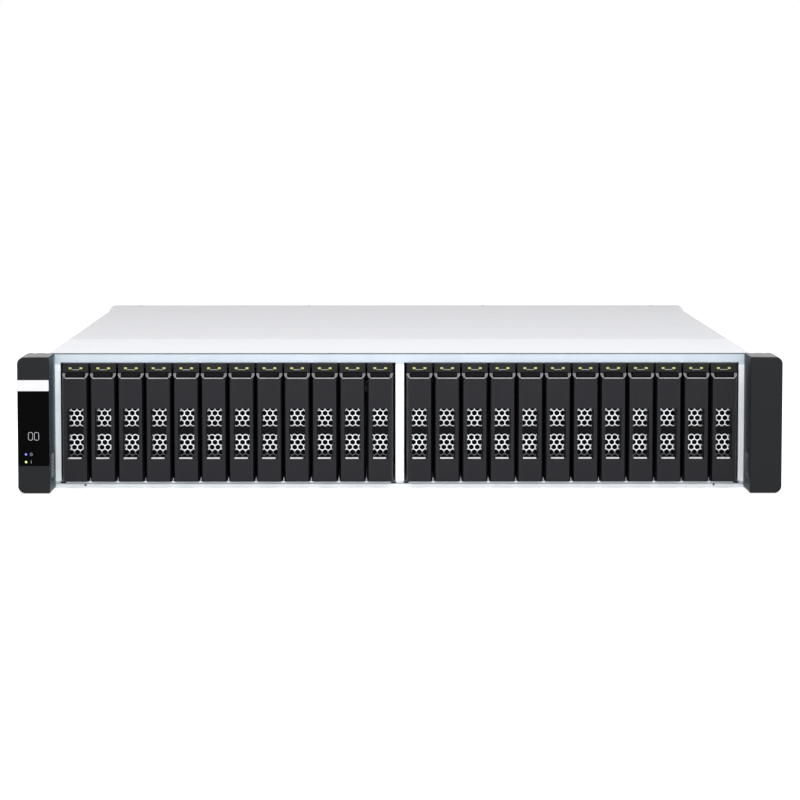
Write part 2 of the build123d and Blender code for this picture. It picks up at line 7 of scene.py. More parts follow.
# %% Load the frame
import json
import math
import bmesh
import bpy
import numpy as np
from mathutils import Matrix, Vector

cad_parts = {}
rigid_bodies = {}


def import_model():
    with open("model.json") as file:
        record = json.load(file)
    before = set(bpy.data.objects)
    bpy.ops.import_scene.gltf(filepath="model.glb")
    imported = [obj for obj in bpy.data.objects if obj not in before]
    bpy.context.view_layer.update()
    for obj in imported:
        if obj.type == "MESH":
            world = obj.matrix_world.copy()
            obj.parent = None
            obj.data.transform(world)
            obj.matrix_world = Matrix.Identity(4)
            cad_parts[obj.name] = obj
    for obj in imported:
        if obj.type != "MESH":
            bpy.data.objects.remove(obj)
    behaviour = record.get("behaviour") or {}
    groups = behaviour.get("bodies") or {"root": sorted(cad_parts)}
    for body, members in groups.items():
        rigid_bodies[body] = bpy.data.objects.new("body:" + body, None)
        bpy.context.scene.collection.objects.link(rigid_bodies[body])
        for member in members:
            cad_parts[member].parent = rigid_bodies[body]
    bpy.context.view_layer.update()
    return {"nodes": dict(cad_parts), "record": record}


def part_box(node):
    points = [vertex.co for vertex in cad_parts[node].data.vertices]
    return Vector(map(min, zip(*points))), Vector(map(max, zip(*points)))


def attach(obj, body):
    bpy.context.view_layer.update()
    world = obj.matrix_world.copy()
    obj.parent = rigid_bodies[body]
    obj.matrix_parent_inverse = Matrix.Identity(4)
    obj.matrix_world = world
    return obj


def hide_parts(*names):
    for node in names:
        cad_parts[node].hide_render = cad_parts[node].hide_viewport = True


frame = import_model()
MM = 0.001
nodes = frame["nodes"]
bodies = frame["record"]["behaviour"]["bodies"]
body_of_node = {node: body for body, members in bodies.items() for node in members}
tray_names = sorted(name for name in nodes if name.startswith("drive_tray_"))
lever_names = sorted(name for name in nodes if name.startswith("tray_lever_"))
print("nodes", len(nodes), "trays", len(tray_names))

# %% [markdown]
# ## Camera, light and floor
# The photograph is taken from the front with a long lens, a little above the unit, so the top cover
# shows as a thin wedge. The camera's place and lens were fitted to measured corners of the unit.
# The background is white. The world shows itself as plain white to the camera and to mirrors,
# and lights the unit at a lower level, so that the shapes keep their shading.

# %% Camera
LENS_MM = 143.55
SENSOR_MM = 36.0
CAMERA_PLACE = (-10.86 * MM, -2297.9 * MM, 235.0 * MM)
CAMERA_PITCH = math.radians(4.997)
CAMERA_YAW = math.radians(-0.309)
camera_data = bpy.data.cameras.new("camera")
camera_data.lens = LENS_MM
camera_data.sensor_width = SENSOR_MM
camera_data.clip_start = 0.05
camera_data.clip_end = 50.0
camera = bpy.data.objects.new("camera", camera_data)
camera.location = CAMERA_PLACE
camera.rotation_euler = (math.pi / 2 - CAMERA_PITCH, 0.0, CAMERA_YAW)
bpy.context.scene.collection.objects.link(camera)
bpy.context.scene.camera = camera
bpy.context.scene.view_settings.view_transform = "Standard"
print("camera", [round(value, 3) for value in camera.location])

# %% World and lamps
WORLD_LEVEL = 0.4


def seen_by(tree, *rays):
    """1 for a ray of one of these kinds and 0 for any other: the largest of the Light Path's outputs."""
    paths = tree.nodes.new("ShaderNodeLightPath").outputs
    seen = paths[rays[0]]
    for ray in rays[1:]:
        larger = tree.nodes.new("ShaderNodeMath")
        larger.operation = "MAXIMUM"
        tree.links.new(seen, larger.inputs[0])
        tree.links.new(paths[ray], larger.inputs[1])
        seen = larger.outputs[0]
    return seen


world = bpy.data.worlds.new("studio")
world.use_nodes = True
bpy.context.scene.world = world
tree = world.node_tree
background = tree.nodes["Background"]
background.inputs["Color"].default_value = (1.0, 1.0, 1.0, 1.0)
level = tree.nodes.new("ShaderNodeMapRange")
level.inputs["To Min"].default_value = WORLD_LEVEL
level.inputs["To Max"].default_value = 1.0
tree.links.new(seen_by(tree, "Is Camera Ray", "Is Glossy Ray", "Is Transmission Ray"), level.inputs["Value"])
tree.links.new(level.outputs["Result"], background.inputs["Strength"])


def softbox(name, place, aim, size, power):
    """A square area lamp at one point, turned to face another."""
    data = bpy.data.lights.new(name, "AREA")
    data.shape = "SQUARE"
    data.size = size
    data.energy = power
    lamp = bpy.data.objects.new(name, data)
    lamp.location = place
    direction = np.array(aim) - np.array(place)
    distance = float(np.linalg.norm(direction))
    tilt = math.acos(-direction[2] / distance)
    turn = math.atan2(direction[1], direction[0]) - math.pi / 2
    lamp.rotation_euler = (tilt, 0.0, turn)
    bpy.context.scene.collection.objects.link(lamp)


softbox("overhead", place=(0.0, -0.75, 1.35), aim=(0.0, -0.2, 0.08), size=1.3, power=16.5)
softbox("front_fill", place=(0.0, -3.2, 0.5), aim=(0.0, -0.25, 0.04), size=1.4, power=46.0)

# %% Floor
FLOOR_HALF = 6.0
FLOOR_LIFT = 0.68
floor_mesh = bpy.data.meshes.new("floor")
floor_mesh.from_pydata(
    [(-FLOOR_HALF, -FLOOR_HALF, 0.0), (FLOOR_HALF, -FLOOR_HALF, 0.0),
     (FLOOR_HALF, FLOOR_HALF, 0.0), (-FLOOR_HALF, FLOOR_HALF, 0.0)], [], [(0, 1, 2, 3)])
floor = bpy.data.objects.new("floor", floor_mesh)
bpy.context.scene.collection.objects.link(floor)
floor_material = bpy.data.materials.new("pale_floor")
floor_material.use_nodes = True
floor_tree = floor_material.node_tree
floor_shader = floor_tree.nodes["Principled BSDF"]
floor_shader.inputs["Base Color"].default_value = (0.86, 0.86, 0.87, 1.0)
floor_shader.inputs["Roughness"].default_value = 1.0
floor_shader.inputs["Specular IOR Level"].default_value = 0.0
floor_shader.inputs["Emission Color"].default_value = (1.0, 1.0, 1.0, 1.0)
floor_lift = floor_tree.nodes.new("ShaderNodeMapRange")
floor_lift.inputs["To Max"].default_value = FLOOR_LIFT
floor_tree.links.new(seen_by(floor_tree, "Is Camera Ray", "Is Glossy Ray"), floor_lift.inputs["Value"])
floor_tree.links.new(floor_lift.outputs["Result"], floor_shader.inputs["Emission Strength"])
floor.data.materials.append(floor_material)
print("floor", FLOOR_HALF * 2, "m square")

# %% [markdown]
# ## Reading a CAD node as separate solids
# A node of the frame is loose triangles, and one node often holds several solids: a tray holds its
# carrier, drive, air mesh, button and light guide. To give each its own finish they have to be told
# apart. Corners at the same place are joined first. Two corners belong to the same solid when
# triangles connect them, so every corner starts with its own number and takes the lowest number
# among its neighbours until nothing changes.

# %% Solids of a node
JOIN_STEP = 1e-6


def node_arrays(node):
    """Corner places and triangles of a CAD node, with corners at the same place joined into one."""
    mesh = nodes[node].data
    points = np.empty(len(mesh.vertices) * 3, np.float32)
    mesh.vertices.foreach_get("co", points)
    points = points.reshape(-1, 3).astype(float)
    mesh.calc_loop_triangles()
    corners = np.empty(len(mesh.loop_triangles) * 3, np.int32)
    mesh.loop_triangles.foreach_get("vertices", corners)
    keys = np.round(points / JOIN_STEP).astype(np.int64)
    _, first, joined = np.unique(keys, axis=0, return_index=True, return_inverse=True)
    return points[first], joined.reshape(-1)[corners].reshape(-1, 3)


def solids_of(node):
    """The node's solids as (points, triangles), the one with the largest box first, then by place."""
    points, triangles = node_arrays(node)
    label = np.arange(len(points))
    settled = False
    while not settled:
        lowest = label[triangles].min(axis=1)
        renewed = label.copy()
        for corner in range(3):
            np.minimum.at(renewed, triangles[:, corner], lowest)
        renewed = renewed[renewed]
        settled = bool((renewed == label).all())
        label = renewed
    found = []
    for number in np.unique(label):
        member = label == number
        place_of = np.cumsum(member) - 1
        own = triangles[label[triangles[:, 0]] == number]
        found.append((points[member], place_of[own]))
    return sorted(found, key=lambda solid: (-round(float(np.prod(np.ptp(solid[0], axis=0))) * 1e9, 1),
                                            solid[0][:, 0].min(), solid[0][:, 2].min()))


def span(points):
    """The lowest and the highest corner of the box round these points."""
    return points.min(axis=0), points.max(axis=0)


def box_of(node):
    """The lowest and the highest corner of a CAD node's box."""
    return [np.array(corner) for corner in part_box(node)]


tray_solids = solids_of(tray_names[0])
print("solids of one tray, corners each:", [len(points) for points, _ in tray_solids])

# %% [markdown]
# ## Meshes and pieces
# A piece that repeats, such as a lever, is made once, with its modifiers worked out, and its copies
# are the same mesh with every corner moved. Every finished object stays at the origin, so its
# place is in its mesh and a pattern on Object coordinates runs on from piece to piece.

# %% Mesh and piece helpers
FLAT_ANGLE = math.radians(0.8)
BEVEL_ANGLE = math.radians(28)
BEVEL_SEGMENTS = 2
scene_objects = bpy.context.scene.collection.objects


def mesh_from(name, points, faces, materials=(), numbers=None):
    """A mesh from corner places and faces; numbers gives each face its place in materials. A face
    whose last corner repeats is a triangle."""
    mesh = bpy.data.meshes.new(name)
    rows = [row[:3] if row[-1] == row[-2] else row for row in np.asarray(faces).tolist()]
    mesh.from_pydata(np.asarray(points).tolist(), [], rows)
    for material in materials:
        mesh.materials.append(material)
    if numbers is not None:
        mesh.polygons.foreach_set("material_index", np.asarray(numbers, np.int32))
    mesh.update()
    return mesh


def joined_arrays(parts):
    """Several (points, faces) in one: the faces of each later part count on from the corners before it."""
    counts = np.cumsum([0] + [len(points) for points, _ in parts])
    return (np.concatenate([points for points, _ in parts]),
            np.concatenate([np.asarray(faces) + start for (_, faces), start in zip(parts, counts)]),
            np.concatenate([np.full(len(faces), number) for number, (_, faces) in enumerate(parts)]))


def with_flat_faces(mesh):
    """Triangles that lie in one plane become one face, so that a bevel meets only real edges."""
    work = bmesh.new()
    work.from_mesh(mesh)
    bmesh.ops.dissolve_limit(work, angle_limit=FLAT_ANGLE, use_dissolve_boundaries=False,
                             verts=work.verts, edges=work.edges, delimit={"MATERIAL"})
    work.to_mesh(mesh)
    work.free()
    return mesh


def worked_out(mesh, width):
    """The mesh with every sharp edge rounded to this width, as a new mesh without modifiers."""
    holder = bpy.data.objects.new("holder", mesh)
    scene_objects.link(holder)
    mesh.shade_smooth()
    bevel = holder.modifiers.new("rounded_edges", "BEVEL")
    bevel.width = width
    bevel.segments = BEVEL_SEGMENTS
    bevel.limit_method = "ANGLE"
    bevel.angle_limit = BEVEL_ANGLE
    bevel.harden_normals = True
    bevel.use_clamp_overlap = True
    graph = bpy.context.evaluated_depsgraph_get()
    finished = bpy.data.meshes.new_from_object(holder.evaluated_get(graph), depsgraph=graph)
    bpy.data.objects.remove(holder)
    return finished


def softened(name, points, faces, materials, width, numbers=None):
    """A CAD shape as a mesh of flat faces with rounded edges."""
    return worked_out(with_flat_faces(mesh_from(name, points, faces, materials, numbers)), width)


def moved_mesh(mesh, name, shift):
    """A copy of the mesh with every corner moved by shift."""
    copy = mesh.copy()
    copy.name = name
    places = np.empty(len(copy.vertices) * 3, np.float32)
    copy.vertices.foreach_get("co", places)
    places = places.reshape(-1, 3) + np.asarray(shift, np.float32)
    copy.vertices.foreach_set("co", places.reshape(-1))
    copy.update()
    return copy


def piece(name, mesh, body, replaced=()):
    """A finished object that rides on a body and, where nodes are named, stands for them."""
    obj = bpy.data.objects.new(name, mesh)
    scene_objects.link(obj)
    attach(obj, body)
    if replaced:
        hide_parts(*replaced)
    return obj


print("helpers ready, bevel from", round(math.degrees(BEVEL_ANGLE)), "degrees")

# %% [markdown]
# ## Shared surface effects
# Most of the finishes here share a few effects: the fine grain of moulded plastic, paler worn edges,
# thin dust on surfaces that face up, which on the ear covers is a painted sheen, zinc crystals and
# the lines of brushed metal. Each effect is one node group that puts out values or colours only. The
# materials place it with their own numbers.

# %% Node group helper
def new_group(name, inputs, outputs):
    """A shader node group: inputs are (name, value) pairs, outputs are names. All are numbers."""
    group = bpy.data.node_groups.new(name, "ShaderNodeTree")
    for label, value in inputs:
        socket = group.interface.new_socket(label, in_out="INPUT", socket_type="NodeSocketFloat")
        socket.default_value = value
    for label in outputs:
        group.interface.new_socket(label, in_out="OUTPUT", socket_type="NodeSocketFloat")
    return group, group.nodes.new("NodeGroupInput").outputs, group.nodes.new("NodeGroupOutput").inputs


def feed(tree, value, socket):
    """A number or a colour is written on the socket, and the output of a node is linked to it."""
    if isinstance(value, (float, tuple)):
        socket.default_value = value
    else:
        tree.links.new(value, socket)


def maths(tree, operation, first, second):
    """The result of a Math node. Each of its two values is a number or a socket."""
    node = tree.nodes.new("ShaderNodeMath")
    node.operation = operation
    feed(tree, first, node.inputs[0])
    feed(tree, second, node.inputs[1])
    return node.outputs[0]


def object_place(tree):
    """The Object coordinates of the point that is shaded, in metres."""
    return tree.nodes.new("ShaderNodeTexCoord").outputs["Object"]


def noise(tree, place, scale, detail=2.0, roughness=0.5):
    """A noise texture's value at a place, from 0 to 1. Its scale is a number or a socket."""
    node = tree.nodes.new("ShaderNodeTexNoise")
    node.inputs["Detail"].default_value = detail
    node.inputs["Roughness"].default_value = roughness
    tree.links.new(place, node.inputs["Vector"])
    feed(tree, scale, node.inputs["Scale"])
    return node.outputs["Fac"]


# %% Moulded grain
grain, grain_in, grain_out = new_group("moulded_grain", [("Scale", 1400.0)], ["Height", "Mottle"])
grain_place = object_place(grain)
grain.links.new(noise(grain, grain_place, grain_in["Scale"], 3.0, 0.6), grain_out["Height"])
grain.links.new(noise(grain, grain_place, 60.0, 4.0), grain_out["Mottle"])
print("group", grain.name)

# %% Worn edges
wear, wear_in, wear_out = new_group("worn_edges", [("Width", 0.0006), ("Amount", 0.5)], ["Mask"])
rounded = wear.nodes.new("ShaderNodeBevel")
rounded.samples = 4
wear.links.new(wear_in["Width"], rounded.inputs["Radius"])
surface = wear.nodes.new("ShaderNodeNewGeometry")
agreement = wear.nodes.new("ShaderNodeVectorMath")
agreement.operation = "DOT_PRODUCT"
wear.links.new(rounded.outputs["Normal"], agreement.inputs[0])
wear.links.new(surface.outputs["Normal"], agreement.inputs[1])
edge = maths(wear, "SUBTRACT", 1.0, agreement.outputs["Value"])
broken = maths(wear, "MULTIPLY", edge, noise(wear, object_place(wear), 180.0, 5.0))
scaled = maths(wear, "MULTIPLY", broken, wear_in["Amount"])
limited = maths(wear, "MINIMUM", maths(wear, "MULTIPLY", scaled, 8.0), 1.0)
wear.links.new(limited, wear_out["Mask"])
print("group", wear.name)

# %% Dust, and painted sheen, on upward faces
dust_and_sheen, dust_and_sheen_in, dust_and_sheen_out = new_group("dust_and_sheen_on_top", [("Amount", 0.3)], ["Mask"])
facing = dust_and_sheen.nodes.new("ShaderNodeSeparateXYZ")
dust_and_sheen.links.new(dust_and_sheen.nodes.new("ShaderNodeNewGeometry").outputs["Normal"], facing.inputs[0])
upward = maths(dust_and_sheen, "MAXIMUM", facing.outputs["Z"], 0.0)
clouded = maths(dust_and_sheen, "MULTIPLY", upward, noise(dust_and_sheen, object_place(dust_and_sheen), 22.0, 7.0))
dust_and_sheen.links.new(maths(dust_and_sheen, "MULTIPLY", clouded, dust_and_sheen_in["Amount"]), dust_and_sheen_out["Mask"])
print("group", dust_and_sheen.name)

# %% Zinc crystals
zinc, zinc_in, zinc_out = new_group("zinc_crystals", [("Scale", 170.0)], ["Tone", "Height"])
crystals = zinc.nodes.new("ShaderNodeTexVoronoi")
crystals.inputs["Randomness"].default_value = 1.0
zinc_place = object_place(zinc)
zinc.links.new(zinc_place, crystals.inputs["Vector"])
zinc.links.new(zinc_in["Scale"], crystals.inputs["Scale"])
split = zinc.nodes.new("ShaderNodeSeparateColor")
zinc.links.new(crystals.outputs["Color"], split.inputs[0])
zinc.links.new(split.outputs[0], zinc_out["Tone"])
zinc.links.new(noise(zinc, zinc_place, 900.0), zinc_out["Height"])
print("group", zinc.name)

# %% Brushed lines
brushed, brushed_in, brushed_out = new_group(
    "brushed_lines", [("Across", 2200.0), ("Along", 25.0)], ["Lines"])
stretch = brushed.nodes.new("ShaderNodeCombineXYZ")
brushed.links.new(brushed_in["Along"], stretch.inputs["X"])
brushed.links.new(brushed_in["Across"], stretch.inputs["Y"])
brushed.links.new(brushed_in["Across"], stretch.inputs["Z"])
laid_out = brushed.nodes.new("ShaderNodeVectorMath")
laid_out.operation = "MULTIPLY"
brushed.links.new(object_place(brushed), laid_out.inputs[0])
brushed.links.new(stretch.outputs[0], laid_out.inputs[1])
brushed.links.new(noise(brushed, laid_out.outputs[0], 1.0, 4.0), brushed_out["Lines"])
print("group", brushed.name)

# %% Diagonal strokes
slanted, slanted_in, slanted_out = new_group(
    "diagonal_strokes", [("Period", 0.004), ("Share", 0.5)], ["Mask"])
slant_place = slanted.nodes.new("ShaderNodeSeparateXYZ")
slanted.links.new(object_place(slanted), slant_place.inputs[0])
along = maths(slanted, "SUBTRACT", slant_place.outputs["Z"], slant_place.outputs["Y"])
turn = maths(slanted, "FRACT", maths(slanted, "DIVIDE", along, slanted_in["Period"]), 0.0)
slanted.links.new(maths(slanted, "LESS_THAN", turn, slanted_in["Share"]), slanted_out["Mask"])
print("group", slanted.name)

# %% [markdown]
# ## Materials
# A finish here is a Principled shader whose plain numbers sit on its own sockets, while
# colour, roughness and the bump vary through the groups above. Colours are written as they look on
# a screen, from 0 to 255, and turned into the linear values that the renderer adds up.

# %% Material helpers
def screen(red, green, blue):
    """Screen colour to linear: below the knee divide by 12.92, above it raise (c + 0.055) / 1.055 to 2.4."""
    parts = np.array([red, green, blue]) / 255.0
    linear = np.where(parts <= 0.04045, parts / 12.92, ((parts + 0.055) / 1.055) ** 2.4)
    return tuple(linear.tolist()) + (1.0,)


def start_material(name, roughness, metallic=0.0, **plain):
    """A node material; the plain numbers go on the shader's sockets, named with _ for a space."""
    made = bpy.data.materials.new(name)
    made.use_nodes = True
    shader = made.node_tree.nodes["Principled BSDF"]
    shader.inputs["Roughness"].default_value = roughness
    shader.inputs["Metallic"].default_value = metallic
    for label, value in plain.items():
        shader.inputs[label.replace("_", " ")].default_value = value
    return made, made.node_tree, shader.inputs


def placed(tree, group, **values):
    """The group's outputs, placed in a material with these numbers on its inputs."""
    node = tree.nodes.new("ShaderNodeGroup")
    node.node_tree = group
    for label, value in values.items():
        node.inputs[label].default_value = value
    return node.outputs


def mixed(tree, factor, first, second, blend="MIX"):
    """A colour between two, by a factor socket. Each colour is a value or a socket."""
    node = tree.nodes.new("ShaderNodeMix")
    node.data_type = "RGBA"
    node.blend_type = blend
    tree.links.new(factor, node.inputs["Factor"])
    colours = [entry for entry in node.inputs if entry.type == "RGBA"]
    feed(tree, first, colours[0])
    feed(tree, second, colours[1])
    return [entry for entry in node.outputs if entry.type == "RGBA"][0]


def ranged(tree, value, low, high):
    """The 0 to 1 value spread from low to high."""
    node = tree.nodes.new("ShaderNodeMapRange")
    node.inputs["To Min"].default_value = low
    node.inputs["To Max"].default_value = high
    tree.links.new(value, node.inputs["Value"])
    return node.outputs["Result"]


def bumped(tree, height, distance, strength=0.5):
    """The normal of a surface with this height, up to distance in metres."""
    node = tree.nodes.new("ShaderNodeBump")
    node.inputs["Distance"].default_value = distance
    node.inputs["Strength"].default_value = strength
    tree.links.new(height, node.inputs["Height"])
    return node.outputs["Normal"]


GRAIN_SCALE = 1400.0
GRAIN_DEPTH = 0.06 * MM
ROLLED_DEPTH = 0.03 * MM


def moulded_plastic(name, colour, worn, roughness, wear_amount=0.4, dust_and_sheen_amount=0.15, **plain):
    """Grained plastic: mottled colour, paler worn edges, paler upward faces (a little dust, and at a large
    amount a painted sheen), and a fine bump.
    """
    made, tree, inputs = start_material(name, roughness, **plain)
    texture = placed(tree, grain, Scale=GRAIN_SCALE)
    darker = tuple(channel * 0.9 for channel in colour[:3]) + (1.0,)
    base = mixed(tree, texture["Mottle"], darker, colour)
    base = mixed(tree, placed(tree, wear, Amount=wear_amount)["Mask"], base, worn)
    base = mixed(tree, placed(tree, dust_and_sheen, Amount=dust_and_sheen_amount)["Mask"], base, screen(176, 176, 178))
    tree.links.new(base, inputs["Base Color"])
    tree.links.new(ranged(tree, texture["Mottle"], roughness - 0.06, roughness + 0.08), inputs["Roughness"])
    tree.links.new(bumped(tree, texture["Height"], GRAIN_DEPTH), inputs["Normal"])
    return made


def sheet_metal(name, colour, crystal_tint, roughness, metallic, crystal_scale, **plain):
    """Zinc coated sheet: crystals tint the colour and the gloss, edges are worn, rolling leaves a bump."""
    made, tree, inputs = start_material(name, roughness, metallic, **plain)
    texture = placed(tree, zinc, Scale=crystal_scale)
    base = mixed(tree, texture["Tone"], colour, crystal_tint)
    base = mixed(tree, placed(tree, wear, Amount=0.35)["Mask"], base, screen(250, 250, 252))
    base = mixed(tree, placed(tree, dust_and_sheen, Amount=0.1)["Mask"], base, screen(186, 184, 180))
    tree.links.new(base, inputs["Base Color"])
    tree.links.new(ranged(tree, texture["Tone"], roughness - 0.03, roughness + 0.03), inputs["Roughness"])
    tree.links.new(bumped(tree, texture["Height"], ROLLED_DEPTH), inputs["Normal"])
    return made


def toned_between(made, axis, low, high, spread, tint):
    """Between two places on an axis, in metres, the base colour is multiplied by a tint. Each end is a
    ramp as wide as twice spread: one rises at low, the other falls at high, and their product counts."""
    tree = made.node_tree
    socket = tree.nodes["Principled BSDF"].inputs["Base Color"]
    split = tree.nodes.new("ShaderNodeSeparateXYZ")
    tree.links.new(object_place(tree), split.inputs[0])
    ramps = []
    for start, end in ((low - spread, low + spread), (high + spread, high - spread)):
        ramp = tree.nodes.new("ShaderNodeMapRange")
        ramp.inputs["From Min"].default_value = start
        ramp.inputs["From Max"].default_value = end
        tree.links.new(split.outputs[axis], ramp.inputs["Value"])
        ramps.append(ramp.outputs["Result"])
    toned = mixed(tree, maths(tree, "MULTIPLY", *ramps), socket.links[0].from_socket, tint, "MULTIPLY")
    tree.links.new(toned, socket)


# %% Finishes
DULL = 0.12
# The ear covers' upward faces are painted paler by the dust mask at a large amount: a painted sheen.
ear_plastic = moulded_plastic("ear_charcoal", screen(17, 19, 21), screen(66, 66, 70), roughness=0.42,
                              dust_and_sheen_amount=0.8, Specular_IOR_Level=DULL)
lever_plastic = moulded_plastic("lever_graphite", screen(20, 20, 26), screen(80, 80, 84), roughness=0.36,
                                Specular_IOR_Level=DULL)
carrier_plastic = moulded_plastic("carrier_graphite", screen(26, 25, 27), screen(70, 70, 74), roughness=0.45,
                                  Specular_IOR_Level=DULL)
# Black for the tray button's own plastic, and for faces and plates that are painted shade in recesses, holes
# and gaps.
black_and_recess_shade = moulded_plastic("black_and_recess_shade", screen(8, 8, 9), screen(30, 30, 33), roughness=0.5,
                               dust_and_sheen_amount=0.02, Specular_IOR_Level=0.05)
latch_plastic = moulded_plastic("latch_black", screen(22, 24, 28), screen(80, 84, 88), roughness=0.4,
                                Specular_IOR_Level=DULL)
# The lid is painted darker than the cover's front part: painted shade on the lid, a painted highlight at the
# front.
cover_shaded_paint = sheet_metal("cover_lid_shaded", screen(224, 224, 228), screen(221, 222, 226), 0.55, 0.0, 220.0,
                          Specular_IOR_Level=DULL)
tub_zinc = sheet_metal("tub_zinc", screen(242, 247, 250), screen(236, 242, 246), 0.4, 0.1, 90.0)
frame_zinc = sheet_metal("frame_zinc", screen(245, 249, 252), screen(240, 245, 249), 0.4, 0.1, 90.0)
SHADED_STRIP_BASE = 79.5 * MM
LIP_SHADOW_BAND = (2.1 * MM, 4.3 * MM)
# The frame's top strip, under the cover, is painted darker: painted shade.
toned_between(frame_zinc, "Z", SHADED_STRIP_BASE, 1.0, 0.6 * MM, (0.54, 0.595, 0.645, 1.0))
# A band of the frame's lip under the trays is painted darker: a painted shadow.
toned_between(frame_zinc, "Z", *LIP_SHADOW_BAND, 0.2 * MM, (0.58, 0.6, 0.64, 1.0))
mesh_steel = sheet_metal("mesh_steel", screen(232, 235, 240), screen(220, 223, 229), 0.4, 0.5, 900.0)
MESH_SHADE_TOP = 23.0 * MM
# The air mesh's lowest rows are painted nearly black: a painted shadow at the bottom of the lower window.
toned_between(mesh_steel, "Z", -1.0, MESH_SHADE_TOP, 0.6 * MM, (0.1, 0.1, 0.11, 1.0))
# A lighter grey for the lever's faces that slope up to the front: a painted highlight.
rim_painted_highlight = sheet_metal("rim_painted_highlight", screen(126, 124, 130), screen(116, 114, 120), 0.3, 0.3, 500.0)
# A lighter grey for the bar on the lever's sill: a painted highlight.
sill_painted_highlight = sheet_metal("sill_painted_highlight", screen(168, 168, 172), screen(158, 158, 163), 0.3, 0.2, 500.0)
drive_steel = sheet_metal("drive_steel", screen(176, 178, 181), screen(164, 166, 170), 0.34, 0.85, 600.0)
module_zinc = sheet_metal("module_zinc", screen(188, 191, 195), screen(178, 181, 186), 0.36, 0.75, 220.0)
print("finishes", len(bpy.data.materials))

# %% [markdown]
# ## Trays
# A drive tray is a plastic carrier with a drive behind it. Its head has two small lights joined by
# a thin lit line, and under the head a dished release button. An air mesh of hexagons stands near the
# front of the carrier's deep window. The carrier, drive and button keep the solids' shapes with their
# edges rounded. The mesh is made again, because it is what shines through the lever's windows, and so
# is the light guide. A cell of the mesh is made of quads between rings of points. Most shapes below
# are too, so one function numbers the corners of such quads. Which way round a ring runs decides
# which side of the quads is the outer one, so some shapes turn them with [:, ::-1].

# %% Faces between rings
def between_rings(rings, count, wrap=False):
    """Quads between rings of count points each, numbered ring by ring. Each goes from a point to the
    same point of the next ring, to the point after it there, and to the point after it on its own
    ring. With wrap, the last ring joins the first."""
    here = np.arange(rings if wrap else rings - 1).reshape(-1, 1) * count
    there = (here + count) % (rings * count)
    corner = np.arange(count).reshape(1, -1)
    after = (corner + 1) % count
    return np.stack([here + corner, there + corner, there + after, here + after], axis=-1).reshape(-1, 4)


def fan(corners, tip):
    """Triangles from a closed row of corners to a tip, each written as a quad with its tip twice."""
    tips = np.full(len(corners), tip)
    return np.stack([corners, np.roll(corners, -1), tips, tips], axis=-1)


print("quads between 4 rings of 6 points:", len(between_rings(4, 6)))

# %% Honeycomb
HOLE_PITCH = 3.8 * MM
ROW_STEP = 3.14 * MM
HOLE_FLATS = 3.2 * MM
MESH_THICKNESS = 0.8 * MM
CELL_CORNERS = 4 * 6
ROW_HEIGHT = 32.0 * MM
MESH_FORWARD = 6.8 * MM


def honeycomb(low, high, y_front):
    """A sheet of six-sided cells, complete ones only, round the window with corners low and high (x, z).
    Cell centres lie on rows ROW_STEP apart, one of them at ROW_HEIGHT, every second row half a
    pitch across. Cells whose centre lies more than half a pitch outside the window are left out.
    Each cell is the band between two hexagons, its own outline and its hole, with both faces and
    the wall of the hole. The hexagons are flattened until their rows meet."""
    flattening = ROW_STEP / (HOLE_PITCH * math.sqrt(3) / 2)
    first_row = math.floor((low[1] - ROW_HEIGHT) / ROW_STEP + 0.5)
    last_row = math.ceil((high[1] - ROW_HEIGHT) / ROW_STEP - 0.5)
    middle, half = (low[0] + high[0]) / 2, (high[0] - low[0]) / 2
    reach = int(half / HOLE_PITCH) + 2
    row, column = np.meshgrid(np.arange(first_row, last_row + 1), np.arange(-reach, reach + 1),
                              indexing="ij")
    centre_x = middle + (column + (row % 2 + 1) % 2 / 2) * HOLE_PITCH
    centre_z = ROW_HEIGHT + row * ROW_STEP
    kept = np.abs(centre_x - middle) < half + HOLE_PITCH / 2
    centre_x, centre_z = centre_x[kept], centre_z[kept]
    angle = np.arange(6) * math.pi / 3 + math.pi / 6
    outer = HOLE_PITCH / math.sqrt(3)
    inner = HOLE_FLATS / math.sqrt(3)
    rings = []
    for radius, y in ((outer, y_front), (inner, y_front), (inner, y_front + MESH_THICKNESS),
                      (outer, y_front + MESH_THICKNESS)):
        x = centre_x.reshape(-1, 1) + radius * np.cos(angle)
        z = centre_z.reshape(-1, 1) + radius * np.sin(angle) * flattening
        rings.append(np.stack([x, np.full_like(x, y), z], axis=-1))
    points = np.stack(rings, axis=1).reshape(-1, 3)
    first_corners = np.arange(centre_x.size).reshape(-1, 1, 1) * CELL_CORNERS
    return points, (first_corners + between_rings(4, 6)[:, ::-1]).reshape(-1, 4)


# %% [markdown]
# ## Thin raised details
# Lights, digits, seams and screws are small plates or domes that stand a little proud of the surface
# that carries them. A plate can be drawn as an outline carried along its depth: the same outline is
# repeated in a few rings, each drawn in a little, so the edge is rolled and the front is closed.
# One function makes them all, so they share the way light catches their edges.

# %% Plate from an outline
ROLL_STEPS = 4


def rounded_outline(width, height, radius, per_corner=5):
    """A rectangle with round corners: each corner point is the corner's centre plus radius times
    (cos, sin) of an angle that turns a quarter per corner. Counter-clockwise, in (x, z)."""
    turn = (np.arange(4).reshape(-1, 1) + np.linspace(0, 1, per_corner)) * math.pi / 2
    across = np.array([1, -1, -1, 1]).reshape(-1, 1) * (width / 2 - radius) + radius * np.cos(turn)
    upward = np.array([1, 1, -1, -1]).reshape(-1, 1) * (height / 2 - radius) + radius * np.sin(turn)
    return np.stack([across.reshape(-1), upward.reshape(-1)], axis=-1)


def circle_outline(radius, count=24):
    """Points at equal angles round a circle, counter-clockwise."""
    turn = np.arange(count) * 2 * math.pi / count
    return radius * np.stack([np.cos(turn), np.sin(turn)], axis=-1)


